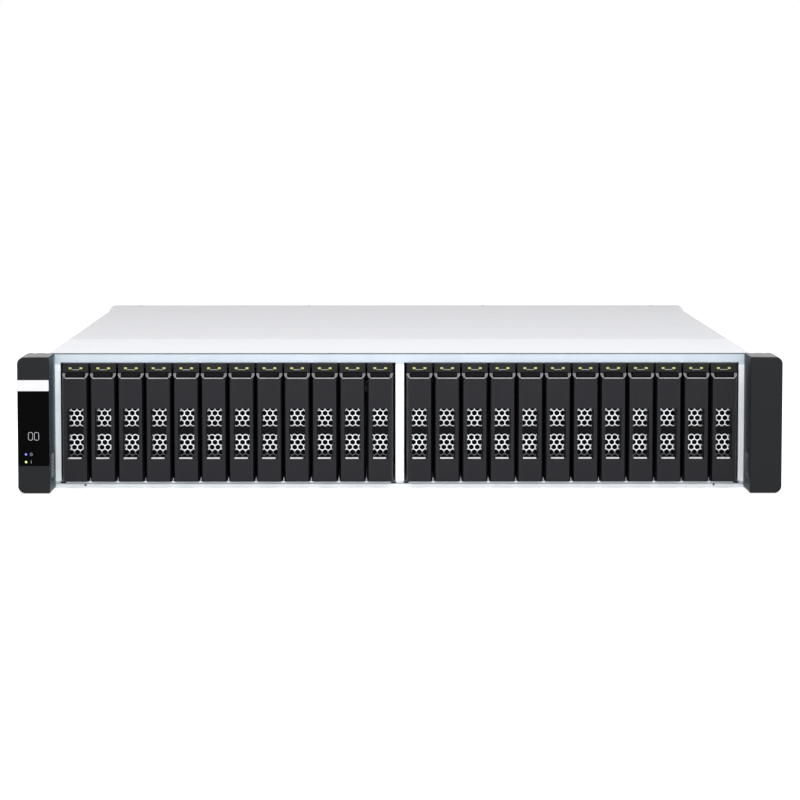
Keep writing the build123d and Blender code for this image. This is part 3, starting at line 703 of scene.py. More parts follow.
def plate(outline, depth, roll):
    """A closed plate from y = 0 out to -depth. Its wall is the outline; over the last roll of depth the
    outline is scaled down along a quarter circle, and both ends are closed with a fan round a centre."""
    angle = np.linspace(0, math.pi / 2, ROLL_STEPS)
    reach = np.abs(outline).max()
    scales = np.concatenate([[1.0], 1 - roll / reach * (1 - np.cos(angle))])
    steps = np.concatenate([[0.0], -(depth - roll) - roll * np.sin(angle)])
    count = len(outline)
    rings = np.stack([np.stack([outline[:, 0] * scale, np.full(count, step), outline[:, 1] * scale], axis=-1)
                      for scale, step in zip(scales, steps)]).reshape(-1, 3)
    points = np.concatenate([rings, [[0, 0, 0], [0, -depth, 0]]])
    first_ring, last_ring = np.arange(count), np.arange(len(rings) - count, len(rings))
    return points, np.concatenate([between_rings(len(scales), count)[:, ::-1],
                                   fan(first_ring[::-1], len(rings)), fan(last_ring, len(rings) + 1)])


def at(part, place, turn=None):
    """The part moved to a place, after swapping its axes with turn (three rows, a plain rotation)."""
    points, faces = part
    if turn is not None:
        points = points @ np.asarray(turn, float).T
    return points + np.asarray(place, float), faces


def small_piece(name, parts, materials, numbers_of_parts, body, replaced=()):
    """One object from several small parts. Its quads are shaded smooth and its end fans flat."""
    points, faces, part_numbers = joined_arrays(parts)
    mesh = mesh_from(name, points, faces, materials, np.asarray(numbers_of_parts)[part_numbers])
    mesh.set_sharp_from_angle(angle=BEVEL_ANGLE)
    mesh.polygons.foreach_set("use_smooth", faces[:, 2] != faces[:, 3])
    mesh.update()
    return piece(name, mesh, body, replaced)


# %% [markdown]
# ## One tray, then twenty-four
# The tray's solids are told apart by size. The drive's front end, seen through the mesh, is painted
# black: painted shade.
# The light guide is made again: two soft domes joined by a thin bar.

# %% Lit lenses
LENS_ROUGHNESS = 0.3


def glowing(name, colour, paler, strength):
    """A lit lens, and a faint painted glow on the display's printed digits and signs: its own colour, a
    little mottled, also given out as light.
    """
    made, tree, inputs = start_material(name, LENS_ROUGHNESS, Emission_Strength=strength)
    shade = mixed(tree, placed(tree, grain, Scale=900.0)["Mottle"], colour, paler)
    tree.links.new(shade, inputs["Base Color"])
    tree.links.new(shade, inputs["Emission Color"])
    return made


guide_dot_glow = glowing("guide_dot", screen(150, 158, 66), screen(176, 184, 96), 0.26)
guide_bar_glow = glowing("guide_bar", screen(120, 122, 108), screen(136, 138, 124), 0.22)
print("lens finishes", guide_dot_glow.name, guide_bar_glow.name)

# %% Tray and air mesh
carrier, drive, air_plate, button, light_guide = tray_solids
plate_low, plate_high = span(air_plate[0])
mesh_points, mesh_quads = honeycomb((plate_low[0], plate_low[2]), (plate_high[0], plate_high[2]),
                                    plate_low[1] - MESH_FORWARD)
points, faces, numbers = joined_arrays([carrier, drive, button])
# The drive's front faces, seen through the air mesh, are painted black: painted shade.
front_of_drive = drive[0][:, 1].min()
on_drive_front = (numbers == 1) & (points[faces][:, :, 1].max(axis=1) < front_of_drive + 0.1 * MM)
numbers = np.where(on_drive_front, 2, numbers)
tray_mesh = softened("tray", points, faces, [carrier_plastic, drive_steel, black_and_recess_shade], 0.25 * MM, numbers)
air_mesh = mesh_from("air_mesh", mesh_points, mesh_quads, [mesh_steel])
print("tray faces", len(tray_mesh.polygons), "mesh cells", len(mesh_points) // CELL_CORNERS)

# %% Light guide
guide_low, guide_high = span(light_guide[0])
guide_middle = (guide_low + guide_high) / 2
DOT_SIZE = (1.9 * MM, 1.2 * MM)
dot_centre = guide_high - np.array([DOT_SIZE[0] / 2, 0, DOT_SIZE[1] / 2])
dot = plate(rounded_outline(*DOT_SIZE, 0.3 * MM), 0.35 * MM, 0.2 * MM)
GUIDE_BAR_HEIGHT = 0.45 * MM
GUIDE_BAR_RISE = 0.3 * MM
bar_width = guide_high[0] - guide_low[0] - 2 * DOT_SIZE[0]
bar = plate(rounded_outline(bar_width, GUIDE_BAR_HEIGHT, 0.1 * MM), 0.3 * MM, 0.1 * MM)
guide_parts = [at(dot, (dot_centre[0], guide_high[1], dot_centre[2])),
               at(dot, (2 * guide_middle[0] - dot_centre[0], guide_high[1], dot_centre[2])),
               at(bar, (guide_middle[0], guide_high[1], guide_low[2] + GUIDE_BAR_RISE))]
print("light guide parts", len(guide_parts))

# %% Twenty-four trays
first_low = box_of(tray_names[0])[0]
for name in tray_names:
    number = name[-2:]
    shift = box_of(name)[0] - first_low
    piece("tray_dressed_" + number, moved_mesh(tray_mesh, "tray_" + number, shift), body_of_node[name],
          [name])
    piece("air_mesh_" + number, moved_mesh(air_mesh, "air_mesh_" + number, shift), body_of_node[name],
          [name])
    small_piece("light_guide_" + number, [at(part, shift) for part in guide_parts],
                [guide_dot_glow, guide_bar_glow], [0, 0, 1], body_of_node[name], [name])
print("trays placed", len(tray_names))

# %% [markdown]
# ## Levers
# The pull lever is a moulded channel with sloped sides, two windows with a crossbar set back between
# them, a notch round the button and a sill under the lower window. Its solid already has that
# shape, so a copy of it gets softly rounded edges, which catch the light as thin lines. Its faces
# that slope up to the front are painted a lighter grey, a painted highlight; the faces inside the
# windows, the crossbar among them, are painted black, painted shade; and a pale bar on the sill is
# a painted highlight.

# %% Lever faces by finish
lever_points, lever_faces, _ = joined_arrays(solids_of(lever_names[0]))
lever_low, lever_high = span(lever_points)
lever_middle = (lever_low[0] + lever_high[0]) / 2
corner_places = lever_points[lever_faces]
lowest, highest = corner_places.min(axis=1), corner_places.max(axis=1)
SET_BACK = 0.8 * MM
SIDE_WIDTH = 1.6 * MM
WINDOW_BAND = (19.0 * MM, 53.0 * MM)
SILL_BAND = (16.0 * MM, 24.0 * MM)
SILL_BAR = (8.4 * MM, 0.9 * MM)
SILL_SHIFT = 0.35 * MM
off_middle = np.abs(corner_places[:, :, 0] - lever_middle).max(axis=1)
# Faces inside the windows, the set-back crossbar among them, are painted black: painted shade.
in_window = ((lowest[:, 2] > WINDOW_BAND[0]) & (highest[:, 2] < WINDOW_BAND[1])
             & (highest[:, 1] > lever_low[1] + SET_BACK)
             & (off_middle < lever_high[0] - lever_middle - SIDE_WIDTH))
edges_out = corner_places[:, 1:] - corner_places[:, :1]
face_normals = np.cross(edges_out[:, 0], edges_out[:, 1])
face_normals = face_normals / np.linalg.norm(face_normals, axis=1, keepdims=True)
slopes_up_front = (face_normals[:, 2] > 0.3) & (face_normals[:, 1] < -0.3)
on_sill = slopes_up_front & (lowest[:, 2] > SILL_BAND[0]) & (highest[:, 2] < SILL_BAND[1])
sill_foot = lowest[on_sill][:, 2].min()
# Faces that slope up to the front, apart from the sill's, get the lighter grey: a painted highlight.
lever_finish = np.where(slopes_up_front & ~on_sill, 2, in_window.astype(np.int32))
print("lever faces by finish", np.bincount(lever_finish))

# %% Lever copies
lever_mesh = softened("lever", lever_points, lever_faces, [lever_plastic, black_and_recess_shade, rim_painted_highlight], 0.2 * MM,
                      lever_finish)
# The bar is a lighter plate on the sill's chamfer: a painted highlight.
sill_bar = at(plate(rounded_outline(*SILL_BAR, 0.2 * MM), 0.12 * MM, 0.08 * MM),
              (lever_middle - SILL_SHIFT, lever_low[1], sill_foot + SILL_BAR[1] * 0.7))
first_low = box_of(lever_names[0])[0]
for name in lever_names:
    shift = box_of(name)[0] - first_low
    small_piece("lever_sill_" + name[-2:], [at(sill_bar, shift)], [sill_painted_highlight], [0], body_of_node[name],
                [name])
    piece("lever_dressed_" + name[-2:], moved_mesh(lever_mesh, name, shift), body_of_node[name],
          [name])
print("lever faces", len(lever_mesh.polygons))

# %% [markdown]
# ## Ear covers
# Each ear is a moulded plastic cap over the rack flange, lined on its inner side with the steel of
# the bracket. The left one carries a bare white badge and a gloss display with two digits and two
# lights. The display is nearly black glass, so its gloss comes from a low roughness, while its
# reflection is kept faint as on a coated window.

# %% Ear shells
gloss_black, gloss_tree, gloss_inputs = start_material("gloss_black", 0.06, Specular_IOR_Level=0.02)
speckle = placed(gloss_tree, grain, Scale=300.0)
gloss_tree.links.new(mixed(gloss_tree, speckle["Mottle"], screen(2, 2, 3), screen(4, 4, 5)),
                     gloss_inputs["Base Color"])
gloss_tree.links.new(ranged(gloss_tree, speckle["Mottle"], 0.04, 0.09), gloss_inputs["Roughness"])
badge_white = moulded_plastic("badge_white", screen(222, 221, 228), screen(232, 232, 236), roughness=0.4,
                              wear_amount=0.1, dust_and_sheen_amount=0.05)
for name in ("ear_cover_left", "ear_cover_right"):
    piece(name + "_dressed", softened(name, *solids_of(name)[0], [ear_plastic], 0.25 * MM), "root",
          [name])
print("ear shells done")

# %% Latch pads
pad_slot_shade, pad_tree, pad_inputs = start_material("pad_slot_shade", 0.4, Specular_IOR_Level=DULL)
# Dark diagonal strokes stand for the pad's slots: painted shade in them.
slot_shade_strokes = placed(pad_tree, slanted, Period=3.6 * MM, Share=0.45)["Mask"]
pad_tree.links.new(mixed(pad_tree, slot_shade_strokes, screen(150, 160, 168), screen(26, 30, 35)),
                   pad_inputs["Base Color"])
pad_tree.links.new(ranged(pad_tree, placed(pad_tree, grain)["Mottle"], 0.34, 0.48), pad_inputs["Roughness"])
# The right pad is painted darker: painted shade.
toned_between(pad_slot_shade, "X", 0.0, 1.0, 1 * MM, (0.22, 0.2, 0.22, 1.0))
for name in ("ear_latch_left", "ear_latch_right"):
    points, faces, _ = joined_arrays(solids_of(name))
    on_pad = points[faces][:, :, 1].mean(axis=1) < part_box("ear_cover_left")[1].y
    mesh = softened(name, points, faces, [latch_plastic, pad_slot_shade], 0.2 * MM, on_pad)
    piece(name + "_dressed", mesh, body_of_node[name], [name])
print("latches done")

# %% Display and badge
ear_low, ear_high = box_of("ear_cover_left")
panel_low, panel_high = span(joined_arrays(solids_of("ear_cover_left")[1:])[0])
BADGE_HEIGHT = 6.9 * MM
PANEL_INSET = 0.1 * MM
panel_width = ear_high[0] - ear_low[0] - 2 * PANEL_INSET
panel_middle = (ear_low[0] + ear_high[0]) / 2
panel_back = panel_high[1]
panel_face = panel_low[1]
panel_proud = panel_back - panel_face
badge_base = panel_high[2] - BADGE_HEIGHT
glass = plate(rounded_outline(panel_width, badge_base - panel_low[2], 0.3 * MM), panel_proud, 0.15 * MM)
badge = plate(rounded_outline(panel_width, BADGE_HEIGHT, 0.3 * MM), panel_proud, 0.15 * MM)
small_piece("display_glass", [at(glass, (panel_middle, panel_back, (badge_base + panel_low[2]) / 2))],
            [gloss_black], [0], "root", ["ear_cover_left"])
small_piece("bare_badge", [at(badge, (panel_middle, panel_back, badge_base + BADGE_HEIGHT / 2))],
            [badge_white], [0], "root", ["ear_cover_left"])
print("panel from", round(panel_low[2] / MM, 1), "to", round(badge_base / MM, 1), "mm")

# %% [markdown]
# The digits are two rounded zeros, each a band between an outer and an inner outline. The signs next
# to the lights are the common power ring with its stroke, and a small letter i for information.

# %% Band and digit shapes
INK_DEPTH = 0.05 * MM


def band(outer, inner, depth):
    """A flat ring between two outlines of the same number of points, from y = 0 to -depth."""
    count = len(outer)
    rings = np.stack([np.stack([line[:, 0], np.full(count, y), line[:, 1]], axis=-1)
                      for line, y in ((outer, 0.0), (outer, -depth), (inner, -depth), (inner, 0.0))])
    return rings.reshape(-1, 3), between_rings(4, count, wrap=True)[:, ::-1]


def zero_digit(width, height, stroke, radius):
    """The digit 0: the band between a rounded rectangle and a smaller one inside it."""
    return band(rounded_outline(width, height, radius),
                rounded_outline(width - 2 * stroke, height - 2 * stroke, radius - stroke), INK_DEPTH)


ZERO_SIZES = (3.0 * MM, 5.2 * MM, 0.24 * MM, 1.2 * MM)
print("corners of one digit", len(zero_digit(*ZERO_SIZES)[0]))

# %% Digits, lights and signs
# The printed digits and signs glow faintly though they are no lamp: painted light.
digit_painted_glow = glowing("digit_painted_glow", screen(170, 172, 176), screen(188, 190, 194), 0.15)
sign_painted_glow = glowing("sign_painted_glow", screen(120, 120, 126), screen(140, 140, 146), 0.1)
blue_light = glowing("blue_light", screen(92, 92, 222), screen(126, 126, 238), 1.0)
green_light = glowing("green_light", screen(170, 225, 90), screen(205, 245, 130), 1.0)
zero = zero_digit(*ZERO_SIZES)
light = plate(circle_outline(0.68 * MM, 16), 0.12 * MM, 0.1 * MM)
ring = band(circle_outline(0.85 * MM, 20), circle_outline(0.6 * MM, 20), INK_DEPTH)
stroke = plate(rounded_outline(0.25 * MM, 0.9 * MM, 0.08 * MM, 3), INK_DEPTH, 0.02 * MM)
letter_stem = plate(rounded_outline(0.35 * MM, 1.3 * MM, 0.08 * MM, 3), INK_DEPTH, 0.02 * MM)
letter_dot = plate(rounded_outline(0.35 * MM, 0.35 * MM, 0.08 * MM, 3), INK_DEPTH, 0.02 * MM)
DIGIT_X = (-233.1 * MM, -229.3 * MM)
DIGIT_Z = 36.9 * MM
LIGHT_X = -236.1 * MM
SIGN_X = -232.8 * MM
BLUE_Z = 25.4 * MM
GREEN_Z = 20.6 * MM
small_piece("display_digits", [at(zero, (x, panel_face, DIGIT_Z)) for x in DIGIT_X], [digit_painted_glow], [0, 0],
            "root")
small_piece("status_lights", [at(light, (LIGHT_X, panel_face, z)) for z in (BLUE_Z, GREEN_Z)],
            [blue_light, green_light], [0, 1], "root")
STROKE_RISE = 0.75 * MM
STEM_DROP = 0.25 * MM
LETTER_DOT_RISE = 0.85 * MM
signs = ((ring, BLUE_Z), (stroke, BLUE_Z + STROKE_RISE), (letter_stem, GREEN_Z - STEM_DROP),
         (letter_dot, GREEN_Z + LETTER_DOT_RISE))
small_piece("status_signs", [at(sign, (SIGN_X, panel_face, z)) for sign, z in signs], [sign_painted_glow],
            [0] * len(signs), "root")
print("digits", len(DIGIT_X), "signs", len(signs))

# %% [markdown]
# The ear's inner wall is lined by the steel bracket behind it. It shows as a streaky, bluish strip
# beside the frame. Its colour is painted paler at the rear, painted light where the frame throws
# light on it, darker towards the front, and darker on the right ear, both painted shade. It has a
# hole where the latch's pad comes through. The strip is a grid of cells in depth and height, with
# the cells inside the hole left out.

# %% Ear liners
LINER_GAP = 0.12 * MM
LINER_SHEET = 0.2 * MM
LINER_EDGE = 1.2 * MM


def sheet_with_hole(x, depth_range, height_range, hole_depths, hole_heights):
    """A sheet at one x on a grid in y and z, whose lines run along its edges and the hole's edges.
    Every grid cell is a face, apart from the middle one, which is the hole."""
    y, z = np.meshgrid(np.array([depth_range[0], *hole_depths, depth_range[1]]),
                       np.array([height_range[0], *hole_heights, height_range[1]]), indexing="ij")
    points = np.stack([np.full(y.size, x), y.reshape(-1), z.reshape(-1)], axis=-1)
    row, column = np.meshgrid(np.arange(3), np.arange(3), indexing="ij")
    first = (row * 4 + column).reshape(-1)
    quads = np.stack([first, first + 4, first + 5, first + 1], axis=-1)
    return points, quads[(row != 1).reshape(-1) | (column != 1).reshape(-1)]


liner_steel, liner_tree, liner_inputs = start_material("liner_steel", 0.5, 0.2, Specular_IOR_Level=DULL)
streaks = placed(liner_tree, brushed, Along=14.0, Across=260.0)["Lines"]
liner_tree.links.new(mixed(liner_tree, streaks, screen(22, 34, 42), screen(104, 122, 130)),
                     liner_inputs["Base Color"])
liner_tree.links.new(ranged(liner_tree, streaks, 0.42, 0.6), liner_inputs["Roughness"])
# The liner is painted darker towards the front and paler at the rear: painted shade and painted light from
# the frame.
PALE_DEPTH = 9 * MM
pale_from = ear_high[1] - PALE_DEPTH
toned_between(liner_steel, "Y", -1.0, pale_from, 5 * MM, (0.42, 0.42, 0.45, 1.0))
toned_between(liner_steel, "Y", pale_from, 1.0, 5 * MM, (2.4, 2.5, 2.5, 1.0))
# The right ear's liner is painted darker: painted shade.
toned_between(liner_steel, "X", 0.0, 1.0, 1 * MM, (0.3, 0.26, 0.28, 1.0))
for side, name in ((-1, "left"), (1, "right")):
    shell_low, shell_high = box_of("ear_cover_" + name)
    pad_low, pad_high = box_of("ear_latch_" + name)
    inner_x = shell_high[0] if side < 0 else shell_low[0]
    points, quads = sheet_with_hole(
        inner_x - side * LINER_GAP, (shell_low[1] + LINER_EDGE, shell_high[1]),
        (shell_low[2] + LINER_EDGE, shell_high[2] - LINER_EDGE),
        (pad_low[1] - LINER_EDGE, min(pad_high[1], shell_high[1] - LINER_EDGE)),
        (pad_low[2] - LINER_EDGE, pad_high[2] + LINER_EDGE))
    facing_in = quads if side < 0 else quads[:, ::-1]
    mesh = mesh_from("ear_liner_" + name, points, facing_in, [liner_steel])
    lined = piece("ear_liner_" + name, mesh, "root")
    wall = lined.modifiers.new("sheet", "SOLIDIFY")
    wall.thickness = LINER_SHEET
    wall.offset = 0.0
print("liners done")

# %% [markdown]
# ## Front frame and cover
# A dark line runs along the cover's front edge: painted shade for the gap where the cover sits over
# the frame. The corners of the drive bays have small relief holes, drawn as black plates: painted
# shade in the holes. Between the trays the gaps are painted dark at the top, painted shade, and the
# cage's guide ribs end in bright feet on the lip. The cover's front part has two shallow dimples,
# each a dished disc.

# %% Cover edge line
TOP_TURN = ((1, 0, 0), (0, 0, 1), (0, -1, 0))
REAR_TURN = ((-1, 0, 0), (0, -1, 0), (0, 0, 1))
LEFT_TURN = ((0, 1, 0), (-1, 0, 0), (0, 0, 1))
RIGHT_TURN = ((0, -1, 0), (1, 0, 0), (0, 0, 1))
# The line along the cover's front edge is painted dark grey: painted shade in the gap under the cover.
gap_shade_grey = moulded_plastic("gap_shade_grey", screen(84, 86, 92), screen(120, 122, 126), roughness=0.5,
                            dust_and_sheen_amount=0.02)
cover_low, cover_high = box_of("top_cover")
cage_low, cage_high = box_of("drive_cage")
EDGE_HEIGHT = 0.75 * MM
EDGE_PROUD = 0.15 * MM
EDGE_DROP = 0.5 * MM
edge_line = plate(rounded_outline(cage_high[0] - cage_low[0], EDGE_HEIGHT, 0.2 * MM), EDGE_PROUD, 0.1 * MM)
small_piece("cover_gap_shade", [at(edge_line, (0, cover_low[1], cover_high[2] - EDGE_DROP))],
            [gap_shade_grey], [0], "root")
print("edge line", round((cage_high[0] - cage_low[0]) / MM, 1), "mm long")

# %% Bay reliefs
RELIEF_SIZE = (3.4 * MM, 1.1 * MM)
RELIEF_OUT = 0.4 * MM
RELIEF_RISE = 0.75 * MM
tray_boxes = np.array([box_of(name) for name in tray_names])
tray_lows, tray_highs = tray_boxes[:, 0, 0], tray_boxes[:, 1, 0]
half_count = len(tray_names) // 2
bay_ends = [tray_lows[0], tray_highs[half_count - 1], tray_lows[half_count], tray_highs[-1]]
outward = [-1, 1, -1, 1]
# The relief holes are black plates: painted shade in the holes.
relief = plate(rounded_outline(*RELIEF_SIZE, 0.3 * MM), 0.1 * MM, 0.05 * MM)
small_piece("bay_reliefs", [at(relief, (end + sign * RELIEF_OUT, cage_low[1], cage_low[2] + RELIEF_RISE))
                            for end, sign in zip(bay_ends, outward)],
            [black_and_recess_shade], [0] * len(bay_ends), "root")
print("reliefs", len(bay_ends))

# %% Painted shade at the tops of the rib gaps, and rib feet
GAP_TOP_SHADE_SIZE = (1.3 * MM, 3.0 * MM)
FOOT_SIZE = (2.3 * MM, 1.0 * MM)
gap_centres = np.delete((tray_highs[:-1] + tray_lows[1:]) / 2, half_count - 1)
tray_foot, tray_top = tray_boxes[0, :, 2]
gap_top_shade = plate(rounded_outline(*GAP_TOP_SHADE_SIZE, 0.3 * MM), 0.15 * MM, 0.1 * MM)
foot = plate(rounded_outline(*FOOT_SIZE, 0.4 * MM), 0.25 * MM, 0.2 * MM)
# The dark plates at the top of the gaps between trays are painted shade.
small_piece("rib_gap_top_shade", [at(gap_top_shade, (x, cage_low[1], tray_top - GAP_TOP_SHADE_SIZE[1] / 2)) for x in gap_centres],
            [black_and_recess_shade], [0] * len(gap_centres), "root")
small_piece("rib_feet", [at(foot, (x, cage_low[1], tray_foot - FOOT_SIZE[1] * 0.6)) for x in gap_centres],
            [tub_zinc], [0] * len(gap_centres), "root")
print("ribs", len(gap_centres))

# %% Cover dimples
DISH_RINGS = 9
DISH_CORNERS = 24
RIM_START = 0.8


def dish(radius, sink, rim):
    """A turned disc: the height along y is minus rim near the edge and falls inwards by sink with a
    cosine, as a pressed dimple does. Rows are radii, columns are angles."""
    share = np.linspace(0.0, 1.0, DISH_RINGS)
    profile = np.where(share > RIM_START, (1 - share) / (1 - RIM_START),
                       1 - sink / rim * np.cos(share / RIM_START * math.pi / 2))
    turn = np.arange(DISH_CORNERS) * 2 * math.pi / DISH_CORNERS
    radii = share.reshape(-1, 1) * radius
    heights = np.repeat(-rim * profile.reshape(-1, 1), DISH_CORNERS, axis=1)
    points = np.stack([radii * np.cos(turn), heights, radii * np.sin(turn)], axis=-1).reshape(-1, 3)
    return points, between_rings(DISH_RINGS, DISH_CORNERS)


DIMPLE_DEPTH = 103.6 * MM
DIMPLE_X = (-187.0 * MM, 177.4 * MM)
dimple = dish(2.6 * MM, 0.25 * MM, 0.3 * MM)
small_piece("cover_dimples", [at(dimple, (x, cover_low[1] + DIMPLE_DEPTH, cover_high[2]), TOP_TURN)
                              for x in DIMPLE_X], [cover_shaded_paint], [0, 0], "root")
print("dimples", len(DIMPLE_X))

# %% [markdown]
# The cover's two parts come from one node. The front part is painted lighter than the lid behind: lit and
# shaded tones of one paint, a painted highlight at the front and painted shade on the lid.

# %% Cover parts, frame, tub and backplane
def repaint(node, made):
    """The CAD node keeps its mesh and shows this material."""
    nodes[node].data.materials.clear()
    nodes[node].data.materials.append(made)


# The cover's front part is painted lighter than the lid: a painted highlight.
cover_lit_paint = sheet_metal("cover_front", screen(235, 236, 240), screen(232, 233, 237), 0.55, 0.0, 220.0,
                          Specular_IOR_Level=DULL)
lid, front_cover = solids_of("top_cover")[:2]
for name, solid, paint in (("cover_lid", lid, cover_shaded_paint), ("cover_front", front_cover, cover_lit_paint)):
    piece(name, softened(name, *solid, [paint], 0.2 * MM), "root", ["top_cover"])
repaint("drive_cage", frame_zinc)
repaint("chassis_tub", tub_zinc)
board_green = moulded_plastic("board_green", screen(24, 74, 48), screen(190, 170, 90), roughness=0.35)
fan_black = moulded_plastic("fan_black", screen(26, 26, 28), screen(60, 60, 64), roughness=0.45)
backplane = softened("backplane", *solids_of("backplane")[0], [board_green], 0.2 * MM)
piece("backplane_dressed", backplane, "root", ["backplane"])
print("nodes painted, backplane faces", len(backplane.polygons))

# %% [markdown]
# ## Controllers and power modules
# The rear isn't in the photograph, so it has what such a server needs: two controllers with a block
# of network sockets and ejector levers, and two power modules with fans, an inlet and a handle. The
# solids of a module get their own finishes, and small hardware goes on top: socket shells with
# gold contacts, wire fan guards, inlet pins, screws and status lights. The second port block shares
# corners with the panel's openings, so it counts as one solid with the canister, and its row of
# sockets is placed by mirroring the first block.

# %% Module finishes
heat_sink_metal = sheet_metal("heat_sink_metal", screen(192, 194, 197), screen(182, 184, 188), 0.3, 0.95,
                              700.0)
ejector_blue = moulded_plastic("ejector_blue", screen(38, 78, 120), screen(90, 120, 150), roughness=0.4)
contact_gold = sheet_metal("contact_gold", screen(212, 176, 98), screen(198, 160, 84), 0.25, 1.0, 900.0)
wire_nickel = sheet_metal("wire_nickel", screen(206, 208, 212), screen(190, 193, 198), 0.22, 1.0, 800.0)
screw_steel = sheet_metal("screw_steel", screen(196, 198, 202), screen(180, 182, 187), 0.28, 0.95, 800.0)
print("finishes", len(bpy.data.materials))


# %% Wires and screws
def wire_ring(radius, wire, around=40, section=8):
    """A torus round the y axis: x = (R + r cos v) cos u, z = (R + r cos v) sin u, y = r sin v."""
    u, v = np.meshgrid(np.arange(around) * 2 * math.pi / around, np.arange(section) * 2 * math.pi / section,
                       indexing="ij")
    far = radius + wire * np.cos(v)
    points = np.stack([far * np.cos(u), wire * np.sin(v), far * np.sin(u)], axis=-1).reshape(-1, 3)
    return points, between_rings(around, section, wrap=True)[:, ::-1]


def wire_spoke(start, end, wire, section=8):
    """A straight wire in the x-z plane between two radii along +x, closed at both ends by fans."""
    turn = np.arange(section) * 2 * math.pi / section
    ring = np.stack([np.zeros(section), wire * np.sin(turn), wire * np.cos(turn)], axis=-1)
    points = np.concatenate([ring + (start, 0, 0), ring + (end, 0, 0), [[start, 0, 0], [end, 0, 0]]])
    corner = np.arange(section)
    return points, np.concatenate([between_rings(2, section), fan(corner, 2 * section),
                                   fan(section + corner[::-1], 2 * section + 1)])


def turned_in_plane(part, angle):
    """The part turned about the y axis by an angle."""
    cos, sin = math.cos(angle), math.sin(angle)
    return at(part, (0, 0, 0), ((cos, 0, -sin), (0, 1, 0), (sin, 0, cos)))


def screw(radius):
    """A pan head with a cross: a rolled disc and two thin bars that cross on it, black: painted shade in the
    cross recess.
    """
    bar = plate(rounded_outline(radius * 1.2, radius * 0.26, radius * 0.1, 3), 0.03 * MM, 0.01 * MM)
    head = plate(circle_outline(radius, 24), radius * 0.5, radius * 0.3)
    lifted = (0, -radius * 0.5, 0)
    return [head, at(bar, lifted), at(turned_in_plane(bar, math.pi / 2), lifted)]


def screws(name, places, radius, turn, body):
    """Screws of one size at these places, on a face that turn brings round."""
    parts = [at(part, place, turn) for place in places for part in screw(radius)]
    # The cross bars are black: painted shade in the cross recess.
    return small_piece(name, parts, [screw_steel, black_and_recess_shade], [0, 1, 1] * len(places), body)


print("hardware shapes ready")

# %% Controllers
MEMORY_SOLIDS = 8
SOCKETS = 4
SOCKET_DEPTH = 1.0 * MM
SOCKET_WALL = 0.5 * MM
SOCKET_SIZES = ((12.7 * MM, 5.7 * MM), (14.2 * MM, 11.7 * MM))
CONTACT_COUNTS = (4, 8)
CONTACT_PITCH = 1.1 * MM
SOCKET_GAP = 4.5 * MM
LAMP_SIDE = 4.6 * MM
LAMP_RISE = 7.6 * MM
CANISTER_SCREW_INSET = 6.0 * MM
CANISTER_SCREW_DROP = 5.0 * MM


def socket_parts_at(low, high, size, contacts):
    """One row of sockets on a port block with these corners: metal shells with a black throat that is
    painted shade in the opening, gold contacts hanging from the top, and two lights above each. Gives
    the parts and each one's finish."""
    step = (high[0] - low[0] + SOCKET_GAP) / SOCKETS
    height = (low[2] + high[2]) / 2
    width, rise = size
    shell = band(rounded_outline(width, rise, 0.6 * MM),
                 rounded_outline(width - 2 * SOCKET_WALL, rise - 2 * SOCKET_WALL, 0.4 * MM), SOCKET_DEPTH)
    throat = plate(rounded_outline(width - SOCKET_WALL, rise - SOCKET_WALL, 0.4 * MM), 0.2 * MM, 0.05 * MM)
    contact = plate(rounded_outline(0.5 * MM, rise * 0.35, 0.1 * MM, 2), 0.5 * MM, 0.1 * MM)
    lamp = plate(rounded_outline(2.0 * MM, 1.0 * MM, 0.3 * MM, 3), 0.3 * MM, 0.2 * MM)
    contact_shifts = (np.arange(contacts) - (contacts - 1) / 2) * CONTACT_PITCH
    made = []
    for index in range(SOCKETS):
        x = low[0] + step * (index + 0.5) - SOCKET_GAP / 2
        made += [(shell, (x, high[1], height), 0), (throat, (x, high[1], height), 4)]
        made += [(contact, (x + shift, high[1], height + rise * 0.22), 1) for shift in contact_shifts]
        made += [(lamp, (x + side * LAMP_SIDE, high[1] + SOCKET_DEPTH, height + LAMP_RISE), finish)
                 for side, finish in ((-1, 2), (1, 3))]
    return [at(part, place, REAR_TURN) for part, place, _ in made], [finish for _, _, finish in made]


for level in ("upper", "lower"):
    node = "controller_" + level
    body = body_of_node[node]
    parts = solids_of(node)
    canister, port_block = parts[0], parts[3 + MEMORY_SOLIDS]
    finish_of = np.array([0, 1, 2] + [2] * MEMORY_SOLIDS + [3] + [4] * (len(parts) - 4 - MEMORY_SOLIDS))
    points, faces, numbers = joined_arrays(parts)
    finishes = [module_zinc, heat_sink_metal, board_green, fan_black, ejector_blue]
    mesh = softened(node, points, faces, finishes, 0.2 * MM, finish_of[numbers])
    piece(node + "_dressed", mesh, body, [node])
    corners_of_rows = (span(port_block[0]), span(port_block[0] * (-1, 1, 1)))
    rows = [socket_parts_at(*corners, size, contacts)
            for corners, size, contacts in zip(corners_of_rows, SOCKET_SIZES, CONTACT_COUNTS)]
    finishes = [wire_nickel, contact_gold, green_light, guide_dot_glow, black_and_recess_shade]
    small_piece("sockets_" + level, rows[0][0] + rows[1][0], finishes, rows[0][1] + rows[1][1], body)
    low, high = span(canister[0])
    places = [(x, high[1], high[2] - CANISTER_SCREW_DROP)
              for x in (low[0] + CANISTER_SCREW_INSET, high[0] - CANISTER_SCREW_INSET)]
    screws("controller_screws_" + level, places, 2.6 * MM, REAR_TURN, body)
print("controllers done, solids of one", len(parts))

